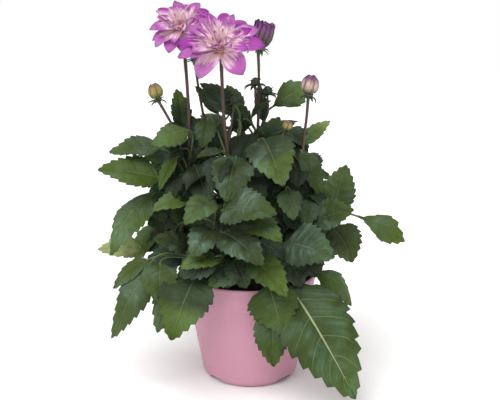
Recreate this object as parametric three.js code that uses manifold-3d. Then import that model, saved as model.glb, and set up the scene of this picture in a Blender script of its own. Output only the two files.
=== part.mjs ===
// A dahlia in a plastic pot, in millimetres, +Z up. The origin is the middle of the pot's flat
// underside, and the front of the plant looks along -Y.

import * as THREE from 'three';
import { mergeVertices } from 'three/addons/utils/BufferGeometryUtils.js';
import Module from 'manifold-3d';

const wasm = await Module();
wasm.setup();

// Driving sizes of the pot.
const POT_HEIGHT = 124.5;
const RIM_RADIUS = 78;
const FOOT_RADIUS = 57;
const FOOT_CORNER = 9;
const WALL = 1.8;
const LIP_HEIGHT = 3;
const LIP_PROUD = 0.4;
const PANEL_LOW = 96.5;
const PANEL_HIGH = 119;
const PANEL_PROUD = 0.9;
const PANEL_HALF_ANGLE = 19;
const CHANNEL_COUNT = 4;
const CHANNEL_WIDTH = 24;
const CHANNEL_HEIGHT = 7;
const CHANNEL_START = 30;
const CHANNEL_ARCH = [[1, 0.5], [0.72, 0.9], [0.3, 1]];
const DRAIN_RADIUS = 3.5;
const DRAIN_AT = 38;
const POT_SIDES = 32;
const HOLE_SIDES = 8;

// Driving sizes of the soil and of the fits.
const GAP = 0.3;
const SOIL_LEVEL = 112.5;
const SOIL_BUMP = 2.2;
const SOIL_RINGS = [0.9, 0.66, 0.42, 0.2, 0];
const STEM_DEPTH = 26;
const STEM_BEND = SOIL_LEVEL + 4;

// Driving sizes of the leaves and stems. The last four are shares of a blade's length or width.
const BLADE_THICK = 0.8;
const STEM_RADIUS = 3;
const STALK_RADIUS = 2.1;
const PETIOLE_RADIUS = 1.3;
const GREEN_STALK_RADIUS = 1.2;
const MIDRIB_CROWN = 0.45;
const TOOTH_START = 0.55;
const TOOTH_LEAN = 0.26;
const NOTCH_WIDTH = 0.8;

// Driving sizes of the flowers and buds.
const PETAL_THICK = 0.8;
const CALYX_RADIUS = 6.5;
const CALYX_DEPTH = 9;
const EYE_RADIUS = 4.6;
const HEART_RADIUS = 6.4;
const HEART_HEIGHT = 7.5;
const RING_STEP = 1.7;
const EYE_SEAT = 5;
const EYE_SIDES = 8;
const FLORETS = 5;
const GOLDEN_TURN = 2.4;
const RING_LOW = 1.4;
const PETAL_CUP = 7;
const PETAL_ROLL = 13;

// Colours of the real thing.
const PINK_PLASTIC = 0xd19ab0;
const DARK_SOIL = 0x2b2019;
const LEAF_GREEN = 0x3a5530;
const PETAL_MAUVE = 0xc47ac6;
const BUD_PURPLE = 0x8a4f97;
const BUD_CREAM = 0xc9a79b;
const BUD_YELLOW = 0xa8a45e;
const EYE_ORANGE = 0xc98a4a;

const UP = new THREE.Vector3(0, 0, 1);

// A repeatable source of random numbers between 0 and 1.
function seededRandom(seed) {
  let state = seed;
  return () => {
    state = (state * 1664525 + 1013904223) % 4294967296;
    return state / 4294967296;
  };
}

function vec(point) {
  return new THREE.Vector3(...point);
}

function radians(degrees) {
  return THREE.MathUtils.degToRad(degrees);
}

// Turns a closed geometry into a solid: shared corners merged, flat slivers left out, faces out.
function toSolid(geometry) {
  const bare = geometry.clone();
  bare.deleteAttribute('normal');
  bare.deleteAttribute('uv');
  const merged = mergeVertices(bare, 1e-4);
  const places = merged.attributes.position.array;
  const corners = merged.index.array;
  const kept = [];
  let volume = 0;
  for (let i = 0; i < corners.length; i += 3) {
    const [a, b, c] = [corners[i], corners[i + 1], corners[i + 2]];
    if (a === b || b === c || c === a) continue;
    kept.push(a, b, c);
    const [p, q, r] = [a, b, c].map((n) => new THREE.Vector3().fromArray(places, n * 3));
    volume += p.dot(q.cross(r));
  }
  if (volume < 0) kept.reverse();
  const mesh = new wasm.Mesh({
    numProp: 3,
    vertProperties: Float32Array.from(places),
    triVerts: Uint32Array.from(kept),
  });
  return new wasm.Manifold(mesh);
}

function toGeometry(solid) {
  const mesh = solid.getMesh();
  const geometry = new THREE.BufferGeometry();
  geometry.setAttribute('position', new THREE.BufferAttribute(mesh.vertProperties, 3));
  geometry.setIndex(new THREE.BufferAttribute(mesh.triVerts, 1));
  geometry.computeVertexNormals();
  return geometry;
}

function joined(solids) {
  return solids.reduce((whole, solid) => whole.add(solid));
}

// A solid turned on the Z axis from a profile of [radius, height] points.
function turned(profile, sides) {
  const points = profile.map(([radius, height]) => new THREE.Vector2(radius, height));
  return new THREE.LatheGeometry(points, sides).rotateX(Math.PI / 2);
}

// Moves a shape made on the Z axis so that its Z axis lies along the given axis at the given place.
function stood(geometry, place, axis) {
  const turn = new THREE.Quaternion().setFromUnitVectors(UP, axis);
  return geometry.applyQuaternion(turn).translate(place.x, place.y, place.z);
}

// A round bar through a list of places.
function bar(places, radius, sides, steps) {
  const path = new THREE.CatmullRomCurve3(places, false, 'centripetal');
  const section = new THREE.Shape();
  for (let i = 0; i < sides; i += 1) {
    const angle = (2 * Math.PI * (i + 0.5)) / sides;
    const [x, y] = [radius * Math.cos(angle), radius * Math.sin(angle)];
    if (i === 0) section.moveTo(x, y);
    else section.lineTo(x, y);
  }
  section.closePath();
  return toSolid(new THREE.ExtrudeGeometry(section, { steps, bevelEnabled: false, extrudePath: path }));
}

// The thin solid between two faces of the same rows of points. A row is { left, middle, right },
// a row at a notch has no middle, and the last row is a single middle point. Both faces are split
// into triangles alike.
function sheet(rows) {
  const places = [];
  const corners = [];
  const numbered = ({ at, normal, thick }) => {
    const upper = at.clone().addScaledVector(normal, thick / 2);
    const lower = at.clone().addScaledVector(normal, -thick / 2);
    places.push(...upper.toArray(), ...lower.toArray());
    return places.length / 6 - 1;
  };
  const numbers = rows.map((row) => {
    const middle = row.middle ? numbered(row.middle) : undefined;
    const left = row.left ? numbered(row.left) : middle;
    const right = row.right ? numbered(row.right) : middle;
    return { left, middle, right };
  });
  const face = (a, b, c) => {
    if (a === b || b === c || c === a) return;
    corners.push(2 * a, 2 * b, 2 * c);
    corners.push(2 * a + 1, 2 * c + 1, 2 * b + 1);
  };
  const wall = (a, b) => {
    corners.push(2 * a, 2 * b, 2 * a + 1);
    corners.push(2 * b, 2 * b + 1, 2 * a + 1);
  };
  for (let i = 0; i + 1 < numbers.length; i += 1) {
    const near = numbers[i];
    const far = numbers[i + 1];
    if (far.middle === undefined) {
      const next = numbers[i + 2];
      face(near.left, near.middle, far.left);
      face(near.middle, next.middle, far.left);
      face(near.middle, near.right, far.right);
      face(near.middle, far.right, next.middle);
    } else if (near.middle === undefined) {
      face(near.left, far.middle, far.left);
      face(near.right, far.right, far.middle);
    } else {
      face(near.left, near.middle, far.left);
      face(near.middle, far.middle, far.left);
      face(near.middle, near.right, far.right);
      face(near.middle, far.right, far.middle);
    }
    wall(near.left, far.left);
    wall(far.right, near.right);
  }
  const first = numbers[0];
  wall(first.middle, first.left);
  wall(first.right, first.middle);
  const geometry = new THREE.BufferGeometry();
  geometry.setAttribute('position', new THREE.BufferAttribute(Float32Array.from(places), 3));
  geometry.setIndex(corners);
  return toSolid(geometry);
}

// The frame of a blade: its arched midrib, the way across it and the way its upper face looks.
function bladeFrame({ foot, tip, face, arch }) {
  const [start, end, look] = [vec(foot), vec(tip), vec(face).normalize()];
  const along = end.clone().sub(start).normalize();
  const across = new THREE.Vector3().crossVectors(along, look).normalize();
  const upward = new THREE.Vector3().crossVectors(across, along);
  const crown = start.clone().lerp(end, MIDRIB_CROWN).addScaledVector(upward, 2 * arch);
  const midrib = new THREE.QuadraticBezierCurve3(start, crown, end);
  const at = (share) => {
    const tangent = midrib.getTangent(share);
    const normal = new THREE.Vector3().crossVectors(across, tangent).normalize();
    return { place: midrib.getPoint(share), tangent, normal, across };
  };
  return { at, length: start.distanceTo(end) };
}

// Half the width of a leaf at a share of its length, as a share of the widest half.
function leafHalf(share) {
  return Math.sin(Math.PI * share ** 0.7) ** 0.85;
}

// The rows of a leaf's stalk, four-sided, from its stem to the foot of the blade.
function stalkRows(leaf, root) {
  const { at, length } = bladeFrame(leaf);
  const { place: foot, tangent: ahead, across } = at(0);
  const reach = root.distanceTo(foot);
  const first = root.clone().lerp(foot, 0.35).addScaledVector(UP, 0.1 * reach);
  const last = foot.clone().addScaledVector(ahead, -Math.min(0.3 * reach, 0.5 * length));
  const path = new THREE.CubicBezierCurve3(root, first, last, foot);
  const sideways = across.clone();
  return [0.6, 0].map((share) => {
    const [place, tangent] = [path.getPoint(share), path.getTangent(share)];
    sideways.addScaledVector(tangent, -sideways.dot(tangent)).normalize();
    const normal = new THREE.Vector3().crossVectors(sideways, tangent).normalize();
    const edge = (side) => {
      const spot = place.clone().addScaledVector(sideways, side * PETIOLE_RADIUS);
      return { at: spot, normal, thick: 0 };
    };
    const middle = { at: place, normal, thick: 2 * PETIOLE_RADIUS };
    return { left: edge(-1), middle, right: edge(1) };
  }).reverse();
}

// A leaf with its stalk. Each tooth has a point that leans forward and a notch behind the next one.
function leafWithStalk(leaf, root) {
  const { at, length } = bladeFrame(leaf);
  const [rise, reach] = [Math.sin(radians(leaf.fold)), Math.cos(radians(leaf.fold))];
  const lean = (TOOTH_LEAN * length) / (leaf.teeth + 1);
  const row = (share, half, forward, thick) => {
    const { place, tangent, normal, across } = at(share);
    const edge = (side) => {
      const spot = place.clone().addScaledVector(tangent, forward);
      spot.addScaledVector(across, side * half * reach).addScaledVector(normal, half * rise);
      return { at: spot, normal, thick: BLADE_THICK };
    };
    const middle = thick && { at: place, normal, thick };
    return { left: edge(-1), middle, right: edge(1) };
  };
  const rows = [...stalkRows(leaf, root), row(0, PETIOLE_RADIUS, 0, 2 * PETIOLE_RADIUS)];
  const widest = leaf.width / 2;
  for (let tooth = 0; tooth < leaf.teeth; tooth += 1) {
    const point = (tooth + TOOTH_START) / (leaf.teeth + 1 - TOOTH_START);
    const notch = (tooth + 1) / (leaf.teeth + 1 - TOOTH_START);
    rows.push(row(point, widest * leafHalf(point), lean, BLADE_THICK));
    rows.push(row(notch, widest * leafHalf(notch) * NOTCH_WIDTH, 0));
  }
  const end = at(1);
  rows.push({ middle: { at: end.place, normal: end.normal, thick: BLADE_THICK } });
  return sheet(rows);
}

// Widths of petals and bracts at shares of their length, as shares of the widest.
const LONG_PETAL = [[0, 0.14], [0.32, 0.86], [0.7, 0.9], [1, 0]];
const SHORT_PETAL = [[0, 0.2], [0.6, 1], [1, 0]];
const BRACT = [[0, 1], [1, 0]];

// A petal whose root lies near the axis of its flower. It bends back towards its end, and it is
// rolled a little, so that it passes over one neighbour and under the other.
function petal({ place, axis, azimuth, elevation, start, length, width, bend, cup, roll, outline }) {
  const [side, front] = flowerPlane(axis);
  const out = side.clone().multiplyScalar(Math.cos(azimuth));
  out.addScaledVector(front, Math.sin(azimuth));
  const across = new THREE.Vector3().crossVectors(axis, out).normalize();
  const spot = place.clone().addScaledVector(out, start);
  let angle = elevation + bend / 2;
  let covered = 0;
  const rows = outline.map(([share, wide]) => {
    const step = (share - covered) * length;
    covered = share;
    if (step > 0) angle -= bend / (outline.length - 1);
    spot.addScaledVector(out, step * Math.cos(angle)).addScaledVector(axis, step * Math.sin(angle));
    const tangent = out.clone().multiplyScalar(Math.cos(angle)).addScaledVector(axis, Math.sin(angle));
    const crosswise = across.clone().applyAxisAngle(tangent, roll);
    const normal = new THREE.Vector3().crossVectors(tangent, crosswise).normalize();
    const half = (wide * width) / 2;
    const edge = (sign) => {
      const point = spot.clone().addScaledVector(crosswise, sign * half * Math.cos(cup));
      return { at: point.addScaledVector(normal, half * Math.sin(cup)), normal, thick: PETAL_THICK };
    };
    const middle = { at: spot.clone(), normal, thick: PETAL_THICK };
    return half > 0 ? { left: edge(-1), middle, right: edge(1) } : { middle };
  });
  return sheet(rows);
}

// Two directions that span the plane of a flower: to the right as seen from the front, and up.
function flowerPlane(axis) {
  const side = new THREE.Vector3().crossVectors(new THREE.Vector3(0, 1, 0), axis);
  if (side.lengthSq() < 1e-6) side.set(1, 0, 0);
  side.normalize();
  if (side.x < 0) side.negate();
  const front = new THREE.Vector3().crossVectors(axis, side).normalize();
  if (front.z < 0) front.negate();
  return [side, front];
}

// A rounded bud with shallow furrows where its petals meet.
function budBody(radius, length, furrows, sides) {
  const profile = [[0, 0], [0.62, 0.04], [1, 0.36], [0.86, 0.72], [0.34, 0.97], [0, 1]];
  const body = turned(profile.map(([r, h]) => [r * radius, h * length]), sides);
  const places = body.attributes.position;
  for (let i = 0; i < places.count; i += 1) {
    const angle = Math.atan2(places.getY(i), places.getX(i));
    const swell = 1 + 0.07 * Math.cos(furrows * angle);
    places.setXY(i, places.getX(i) * swell, places.getY(i) * swell);
  }
  return body;
}

// Narrow green bracts round a flower's or bud's base, bent back.
function bracts(place, axis, count, length, elevation, turn) {
  const solids = [];
  for (let i = 0; i < count; i += 1) {
    solids.push(petal({
      place,
      axis,
      azimuth: radians(turn + (360 * i) / count),
      elevation: radians(elevation + (i % 2 ? 12 : -8)),
      start: 1.5,
      length,
      width: length * 0.32,
      bend: radians(30),
      cup: radians(12),
      roll: 0,
      outline: BRACT,
    }));
  }
  return joined(solids);
}

// The green cup under a flower or bud: flat on top, drawn in to its stalk.
function calyx(place, axis, radius, depth) {
  const waist = [radius * 0.9, -0.4 * depth];
  const profile = [[0, -GAP], [radius, -GAP], waist, [STALK_RADIUS, -depth], [0, -depth]];
  return toSolid(stood(turned(profile, 6), place, axis));
}

// Rings of petals of an open flower. Angles are in degrees, lengths in millimetres.
const PETAL_RINGS = [
  { elevation: 16, length: 43, width: 22, bend: 38, start: 4.5 },
  { elevation: 36, length: 37, width: 19, bend: 34, start: 4.2 },
  { elevation: 55, length: 29, width: 14, bend: 26, start: 4.0 },
  { elevation: 74, length: 18, width: 9, bend: -20, start: 4.6 },
];

const FLOWERS = {
  bloom_front: {
    place: [-31, -38, 377],
    axis: [-0.04, -0.77, 0.64],
    scale: 1,
    seed: 11,
    azimuths: [
      [-121, -57, -6, 28, 53, 80, 112, 140, 168, 197],
      [-90, -35, 15, 65, 110, 155, 215],
      [-60, 5, 60, 110, 165, 235],
      [-90, -18, 54, 126, 198],
    ],
  },
  bloom_back: {
    place: [-76, 12, 399],
    axis: [-0.06, -0.8, 0.6],
    scale: 0.8,
    seed: 23,
    azimuths: [
      [-144, -114, -82, -40, -5, 30, 55, 90, 128, 175],
      [-100, -50, 0, 50, 100, 148, 200],
      [-75, -15, 45, 105, 165, 230],
      [-90, -18, 54, 126, 198],
    ],
  },
};

// An open flower: rings of petals on a small heart, cut to sit on its cup and round its eye.
function flower({ place, axis, scale, seed, azimuths }) {
  const random = seededRandom(seed);
  const [spot, aim] = [vec(place), vec(axis).normalize()];
  const heart = [[0, 0], [HEART_RADIUS, 0], [HEART_RADIUS, HEART_HEIGHT], [0, HEART_HEIGHT]];
  const solids = [toSolid(stood(turned(heart, 10), spot, aim))];
  PETAL_RINGS.forEach((ring, level) => {
    azimuths[level].forEach((azimuth) => {
      solids.push(petal({
        place: spot.clone().addScaledVector(aim, RING_LOW + RING_STEP * level),
        axis: aim,
        azimuth: radians(azimuth),
        elevation: radians(ring.elevation + 8 * (random() - 0.5)),
        start: ring.start,
        length: ring.length * scale * (0.95 + 0.1 * random()),
        width: ring.width * scale,
        bend: radians(ring.bend),
        cup: radians(PETAL_CUP),
        roll: radians(PETAL_ROLL),
        outline: level < 1 ? LONG_PETAL : SHORT_PETAL,
      }));
    });
  });
  const seat = [[0, EYE_SEAT], [EYE_RADIUS + GAP, EYE_SEAT], [EYE_RADIUS + GAP, 14], [0, 14]];
  const under = [[0, -6], [9, -6], [9, 0], [0, 0]];
  return joined(solids)
    .subtract(toSolid(stood(turned(seat, EYE_SIDES), spot, aim)))
    .subtract(toSolid(stood(turned(under, 10), spot, aim)));
}

// The eye of a flower: short unopened florets standing on a small disc.
function flowerEye({ place, axis, seed }) {
  const random = seededRandom(seed + 100);
  const [spot, aim] = [vec(place), vec(axis).normalize()];
  const disc = [[0, EYE_SEAT + GAP], [EYE_RADIUS, EYE_SEAT + GAP], [EYE_RADIUS, 8], [0, 9.6]];
  const solids = [toSolid(stood(turned(disc, EYE_SIDES), spot, aim))];
  const [side, front] = flowerPlane(aim);
  for (let i = 0; i < FLORETS; i += 1) {
    const reach = 3.3 * Math.sqrt((i + 0.5) / FLORETS);
    const turn = i * GOLDEN_TURN;
    const root = spot.clone().addScaledVector(aim, 7.5);
    root.addScaledVector(side, reach * Math.cos(turn));
    root.addScaledVector(front, reach * Math.sin(turn));
    const height = 4 + 2 * random();
    const floret = [[0, 0], [1, 0], [1.1, height * 0.75], [0, height]];
    solids.push(toSolid(stood(turned(floret, 4), root, aim)));
  }
  return joined(solids);
}

// Buds. "cup" is the radius of the green cup under the bud.
const BUDS = {
  bud_purple: {
    place: [11, 20, 381], axis: [0.24, -0.1, 1], radius: 11.5, length: 26, cup: 7, colour: BUD_PURPLE,
  },
  bud_striped: {
    place: [65, -10, 330], axis: [0.12, -0.1, 1], radius: 9, length: 21, cup: 5.5, colour: BUD_CREAM,
  },
  bud_yellow: {
    place: [-102, -10, 325], axis: [-0.3, -0.1, 1], radius: 7.5, length: 17, cup: 4.5, colour: BUD_YELLOW,
  },
  bud_small: {
    place: [40, -20, 291], axis: [0.25, -0.2, 1], radius: 5.2, length: 11, cup: 3.6, colour: BUD_CREAM,
  },
  bud_hidden: {
    place: [-66, 62, 368], axis: [-0.1, 0.1, 1], radius: 8.5, length: 20, cup: 5.5, colour: BUD_PURPLE,
  },
};

// The petals of the purple bud stand up round its heart like staves.
function openingBud({ place, axis, radius, length }) {
  const [spot, aim] = [vec(place), vec(axis).normalize()];
  const solids = [toSolid(stood(budBody(radius * 0.7, length * 0.86, 4, 8), spot, aim))];
  for (let i = 0; i < 8; i += 1) {
    solids.push(petal({
      place: spot.clone().addScaledVector(aim, 1.5),
      axis: aim,
      azimuth: radians(45 * i),
      elevation: radians(72),
      start: radius * 0.56,
      length: length * (i % 2 ? 1.02 : 0.94),
      width: radius * 0.78,
      bend: radians(-26),
      cup: radians(26),
      roll: radians(8),
      outline: SHORT_PETAL,
    }));
  }
  const under = [[0, -8], [radius * 1.4, -8], [radius * 1.4, 0], [0, 0]];
  return joined(solids).subtract(toSolid(stood(turned(under, 10), spot, aim)));
}

function closedBud({ place, axis, radius, length }) {
  const body = stood(budBody(radius, length, 6, 12), vec(place), vec(axis).normalize());
  return toSolid(body);
}

// A leaf: the height at which its stalk leaves the stem, the foot and the tip of its blade, the way
// its upper face looks, its width, how far its midrib arches that way, how far its halves fold up in
// degrees, and its teeth on one side.
function leaf(from, foot, tip, face, width, arch, { fold = 8, teeth = 3 } = {}) {
  return { from, foot, tip, face, width, arch, fold, teeth };
}

// The leafy stems. "through" runs from the soil up.
const STEMS = {
  stem_left: {
    through: [[-30, 2, STEM_BEND], [-42, 2, 150], [-60, 0, 200], [-71, 1, 240]],
    leaves: [
      leaf(225, [-101, -10, 269], [-156, -20, 266], [0, -0.45, 0.89], 44, 3, { teeth: 4 }),
      leaf(205, [-102, -25, 238], [-164, -45, 250], [-0.1, -0.65, 0.75], 50, 4, { fold: 8, teeth: 4 }),
      leaf(238, [-69, -17, 290], [-106, -37, 275], [0, -0.65, 0.75], 36, 6, { fold: -12 }),
      leaf(236, [-78, 15, 289], [-85, 25, 333], [0.3, -0.9, 0.1], 26, 4, { fold: 15 }),
      leaf(190, [-107, -15, 219], [-153, -50, 156], [-0.35, -0.75, 0.6], 43, 15, { fold: -14, teeth: 5 }),
      leaf(170, [-69, -30, 213], [-106, -50, 206], [0, -0.6, 0.8], 28, 6, { fold: 10 }),
      leaf(150, [-127, 0, 148], [-176, -10, 151], [0, -0.6, 0.8], 34, 4, { fold: 5 }),
      leaf(155, [-106, 10, 174], [-134, 0, 130], [-0.5, -0.6, 0.5], 36, 6, { fold: 10 }),
      leaf(215, [-62, -14, 250], [-44, -44, 212], [0, -0.85, 0.5], 40, 6),
      leaf(195, [-86, 6, 235], [-104, -8, 194], [-0.1, -0.85, 0.5], 42, 6),
      leaf(165, [-58, -8, 205], [-84, -30, 170], [0, -0.8, 0.6], 44, 7),
    ],
    stalks: [
      { path: [[-70, 1, 238], [-69, 4, 290], [-71, 9, 340]], holds: 'bloom_back' },
      { path: [[-71, 1, 236], [-83, -7, 286], [-93, -10, 307]], holds: 'bud_yellow' },
    ],
    greenBuds: [],
  },
  stem_front_left: {
    through: [[-22, -28, STEM_BEND], [-27, -36, 130], [-34, -44, 165], [-38, -50, 195]],
    leaves: [
      leaf(140, [-107, -60, 152], [-155, -58, 62], [-0.4, -0.85, 0.3], 44, 4, { fold: -10, teeth: 5 }),
      leaf(140, [-97, -66, 151], [-95, -87, 114], [0, -0.8, 0.5], 42, 5),
      leaf(140, [-112, -54, 152], [-154, -40, 114], [-0.3, -0.7, 0.6], 24, 4),
      leaf(128, [-57, -70, 140], [-82, -110, 82], [-0.1, -0.75, 0.6], 64, 9, { teeth: 5 }),
      leaf(180, [-32, -72, 161], [-72, -96, 155], [0, -0.6, 0.8], 30, 6),
      leaf(190, [-39, -73, 192], [-60, -100, 168], [0, -0.7, 0.7], 36, 5),
      leaf(150, [-68, -44, 164], [-105, -60, 178], [0.1, -0.75, 0.6], 30, 5, { fold: 10 }),
      leaf(192, [-39, -62, 220], [-67, -92, 201], [0, -0.65, 0.75], 36, 6),
      leaf(130, [-8, -66, 146], [-44, -88, 132], [0, -0.65, 0.75], 34, 6),
    ],
    stalks: [],
    greenBuds: [],
  },
  stem_centre: {
    through: [[-4, -10, STEM_BEND], [-10, -14, 170], [-18, -18, 225], [-24, -20, 264]],
    leaves: [
      leaf(245, [15, -30, 282], [35, -75, 238], [-0.1, -0.8, 0.6], 54, 10, { teeth: 5 }),
      leaf(248, [-15, -45, 264], [-25, -80, 222], [0, -0.85, 0.5], 48, 8, { teeth: 4 }),
      leaf(205, [-28, -75, 213], [27, -112, 217], [0, -0.75, 0.65], 50, 9, { teeth: 6 }),
      leaf(190, [-5, -72, 198], [32, -116, 190], [0.1, -0.7, 0.7], 36, 6, { teeth: 4 }),
      leaf(180, [-28, -82, 190], [13, -122, 167], [0, -0.7, 0.7], 44, 8, { teeth: 5 }),
      leaf(250, [-48, 5, 300], [-54, -4, 268], [0, -0.9, 0.3], 28, 4, { fold: 10 }),
      leaf(250, [-13, -2, 300], [-50, -6, 335], [0, -0.9, 0.3], 24, 6, { fold: 10 }),
    ],
    stalks: [
      { path: [[-24, -20, 262], [-28, -26, 300], [-30, -31, 345]], holds: 'bloom_front' },
    ],
    greenBuds: [
      { path: [[-25, -21, 270], [-20, -14, 300]], place: [-18, -12, 318], radius: 4.2, length: 9 },
    ],
  },
  stem_front_right: {
    through: [[20, -34, STEM_BEND], [23, -42, 130], [27, -50, 155]],
    leaves: [
      leaf(145, [20, -80, 132], [34, -102, 86], [0, -0.85, 0.5], 58, 6, { fold: -6, teeth: 5 }),
      leaf(145, [22, -91, 110], [25, -98, 47], [0, -0.97, 0.2], 40, 4, { teeth: 4 }),
      leaf(130, [43, -68, 127], [110, -120, 21], [0.1, -0.8, 0.6], 93, 8, { fold: 6, teeth: 6 }),
      leaf(150, [2, -72, 158], [38, -112, 130], [0.1, -0.75, 0.65], 40, 8, { fold: 6, teeth: 4 }),
      leaf(152, [39, -62, 173], [88, -92, 166], [0, -0.8, 0.6], 56, 7, { teeth: 5 }),
    ],
    stalks: [],
    greenBuds: [],
  },
  stem_right: {
    through: [[32, 4, STEM_BEND], [38, 2, 150], [50, -4, 210], [58, -8, 255]],
    leaves: [
      leaf(190, [95, -20, 203], [107, -20, 252], [-0.1, -0.9, 0.4], 43, 5, { teeth: 4 }),
      leaf(180, [72, -50, 194], [110, -70, 212], [0, -0.75, 0.65], 40, 5, { teeth: 4 }),
      leaf(185, [122, -20, 193], [175, -26, 165], [0, -0.65, 0.75], 36, 3),
      leaf(170, [93, -30, 183], [113, -50, 148], [0.1, -0.8, 0.55], 47, 6, { teeth: 4 }),
      leaf(130, [74, -45, 135], [114, -46, 96], [0.5, -0.6, 0.6], 38, 12, { fold: -15 }),
      leaf(235, [58, -12, 266], [79, -26, 216], [0.2, -0.85, 0.4], 26, 5, { fold: 12 }),
      leaf(250, [61, 5, 271], [92, 15, 297], [-0.4, -0.8, 0.45], 22, 4, { fold: 10 }),
      leaf(252, [60, 2, 270], [18, -4, 290], [0, -0.5, 0.85], 28, 8),
      leaf(225, [46, -4, 248], [66, -24, 204], [0, -0.85, 0.5], 42, 6),
      leaf(150, [52, -22, 186], [68, -42, 148], [0, -0.8, 0.6], 44, 6),
      leaf(215, [39, -55, 230], [46, -76, 202], [0, -0.85, 0.5], 28, 5),
      leaf(200, [66, -34, 216], [60, -58, 189], [0, -0.8, 0.55], 28, 5),
    ],
    stalks: [
      { path: [[58, -8, 253], [60, -10, 278], [63, -10, 305]], holds: 'bud_striped' },
      { path: [[55, -7, 243], [34, -16, 268], [38, -19, 280]], holds: 'bud_small' },
    ],
    greenBuds: [],
  },
  stem_back_left: {
    through: [[-16, 30, STEM_BEND], [-26, 38, 160], [-42, 52, 230], [-52, 58, 280]],
    leaves: [
      leaf(262, [-38, 45, 303], [-65, 50, 335], [0.2, -0.85, 0.5], 18, 2, { fold: 12 }),
      leaf(140, [-54, 72, 160], [-88, 128, 120], [-0.2, 0.6, 0.8], 52, 12, { teeth: 4 }),
      leaf(190, [-76, 58, 205], [-138, 84, 180], [-0.4, 0.4, 0.8], 48, 12, { teeth: 4 }),
      leaf(225, [-66, 82, 240], [-98, 122, 228], [-0.2, 0.5, 0.85], 40, 8),
      leaf(250, [-44, 84, 278], [-56, 118, 296], [0, 0.2, 1], 34, 6),
      leaf(210, [-64, 30, 232], [-104, 34, 238], [-0.1, -0.5, 0.85], 34, 6),
      leaf(130, [-62, 58, 138], [-104, 90, 84], [-0.6, 0.5, 0.5], 46, 10),
    ],
    stalks: [
      { path: [[-52, 58, 278], [-60, 60, 320], [-64, 61, 348]], holds: 'bud_hidden' },
    ],
    greenBuds: [],
  },
  stem_back_right: {
    through: [[14, 28, STEM_BEND], [14, 28, 170], [10, 25, 240], [9, 21, 285]],
    leaves: [
      leaf(262, [-7, 32, 283], [-15, 38, 320], [0, -0.95, 0.3], 28, 4, { fold: 12 }),
      leaf(275, [24, 36, 310], [69, 42, 337], [0.2, -0.9, 0.4], 38, 8, { fold: -10 }),
      leaf(150, [18, 84, 164], [10, 146, 128], [0, 0.6, 0.8], 54, 12, { teeth: 4 }),
      leaf(170, [62, 58, 190], [120, 92, 160], [0.4, 0.5, 0.8], 50, 12, { teeth: 4 }),
      leaf(200, [16, 76, 222], [10, 126, 218], [0, 0.4, 0.9], 42, 8),
      leaf(225, [50, 58, 244], [92, 92, 236], [0.3, 0.4, 0.9], 40, 8),
      leaf(250, [34, 54, 276], [58, 84, 290], [0.1, 0.2, 1], 32, 6),
      leaf(130, [58, 66, 142], [92, 108, 84], [0.5, 0.6, 0.5], 50, 10, { teeth: 4 }),
      leaf(220, [14, 4, 230], [42, -16, 190], [0, -0.8, 0.6], 46, 6),
      leaf(245, [16, 28, 262], [34, 16, 302], [0, -0.9, 0.4], 38, 5, { fold: 10 }),
      leaf(210, [48, 26, 232], [98, 36, 226], [0.1, -0.4, 0.9], 36, 7),
    ],
    stalks: [
      { path: [[9, 21, 283], [10, 20, 320], [10, 20, 355]], holds: 'bud_purple' },
    ],
    greenBuds: [
      { path: [[9, 20, 312], [6, 11, 325]], place: [6, 8, 337], radius: 5, length: 10 },
      { path: [[9, 21, 284], [20, 18, 305]], place: [20, 18, 326], radius: 5.4, length: 11 },
    ],
  },
};

// The point on a stem at a height above the pot's underside.
function pointAtHeight(curve, height) {
  const points = curve.getPoints(60);
  return points.reduce((best, point) => (
    Math.abs(point.z - height) < Math.abs(best.z - height) ? point : best
  ));
}

// A stalk ends in the cup of the flower or bud that it holds, with its bracts.
function flowerStalk({ path, holds }) {
  const held = FLOWERS[holds] ?? BUDS[holds];
  const [place, axis] = [vec(held.place), vec(held.axis).normalize()];
  const radius = held.cup ?? CALYX_RADIUS;
  const depth = held.cup ? held.cup * 1.2 : CALYX_DEPTH;
  const neck = place.clone().addScaledVector(axis, -0.9 * depth);
  const stalk = bar([...path.map(vec), neck], STALK_RADIUS, 5, 4);
  const solids = [stalk, calyx(place, axis, radius, depth)];
  const base = place.clone().addScaledVector(axis, -0.55 * depth);
  solids.push(bracts(base, axis, 4, radius * 1.6, held.cup ? -20 : -35, 20));
  return joined(solids);
}

function greenBud({ path, place, radius, length }) {
  const neck = vec(place).addScaledVector(UP, 1);
  const body = toSolid(budBody(radius, length, 3, 6).translate(...place));
  const stalk = bar([...path.map(vec), neck], GREEN_STALK_RADIUS, 4, 3);
  return joined([body, stalk, bracts(neck, UP, 3, radius * 1.7, 5, 30)]);
}

// A leafy stem grew as one piece: stem, leaf stalks, leaves, flower stalks, cups and green buds.
function leafyStem({ through, leaves, stalks, greenBuds }) {
  const places = through.map(vec);
  const curve = new THREE.CatmullRomCurve3(places, false, 'centripetal');
  const sunk = places[0].clone().setZ(SOIL_LEVEL - STEM_DEPTH);
  const risen = places[0].clone().setZ(STEM_BEND + 1);
  const solids = [bar([sunk, risen], STEM_RADIUS, 6, 1), bar(places, STEM_RADIUS, 6, 6)];
  leaves.forEach((leaf) => solids.push(leafWithStalk(leaf, pointAtHeight(curve, leaf.from))));
  stalks.forEach((stalk) => solids.push(flowerStalk(stalk)));
  greenBuds.forEach((bud) => solids.push(greenBud(bud)));
  return joined(solids);
}

// Radius of the pot's wall at a height, and the profile of a pot-shaped solid inset by some amount.
function wallRadius(height) {
  const flare = (RIM_RADIUS - FOOT_RADIUS) / (POT_HEIGHT - FOOT_CORNER);
  return FOOT_RADIUS + flare * (height - FOOT_CORNER);
}

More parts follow.
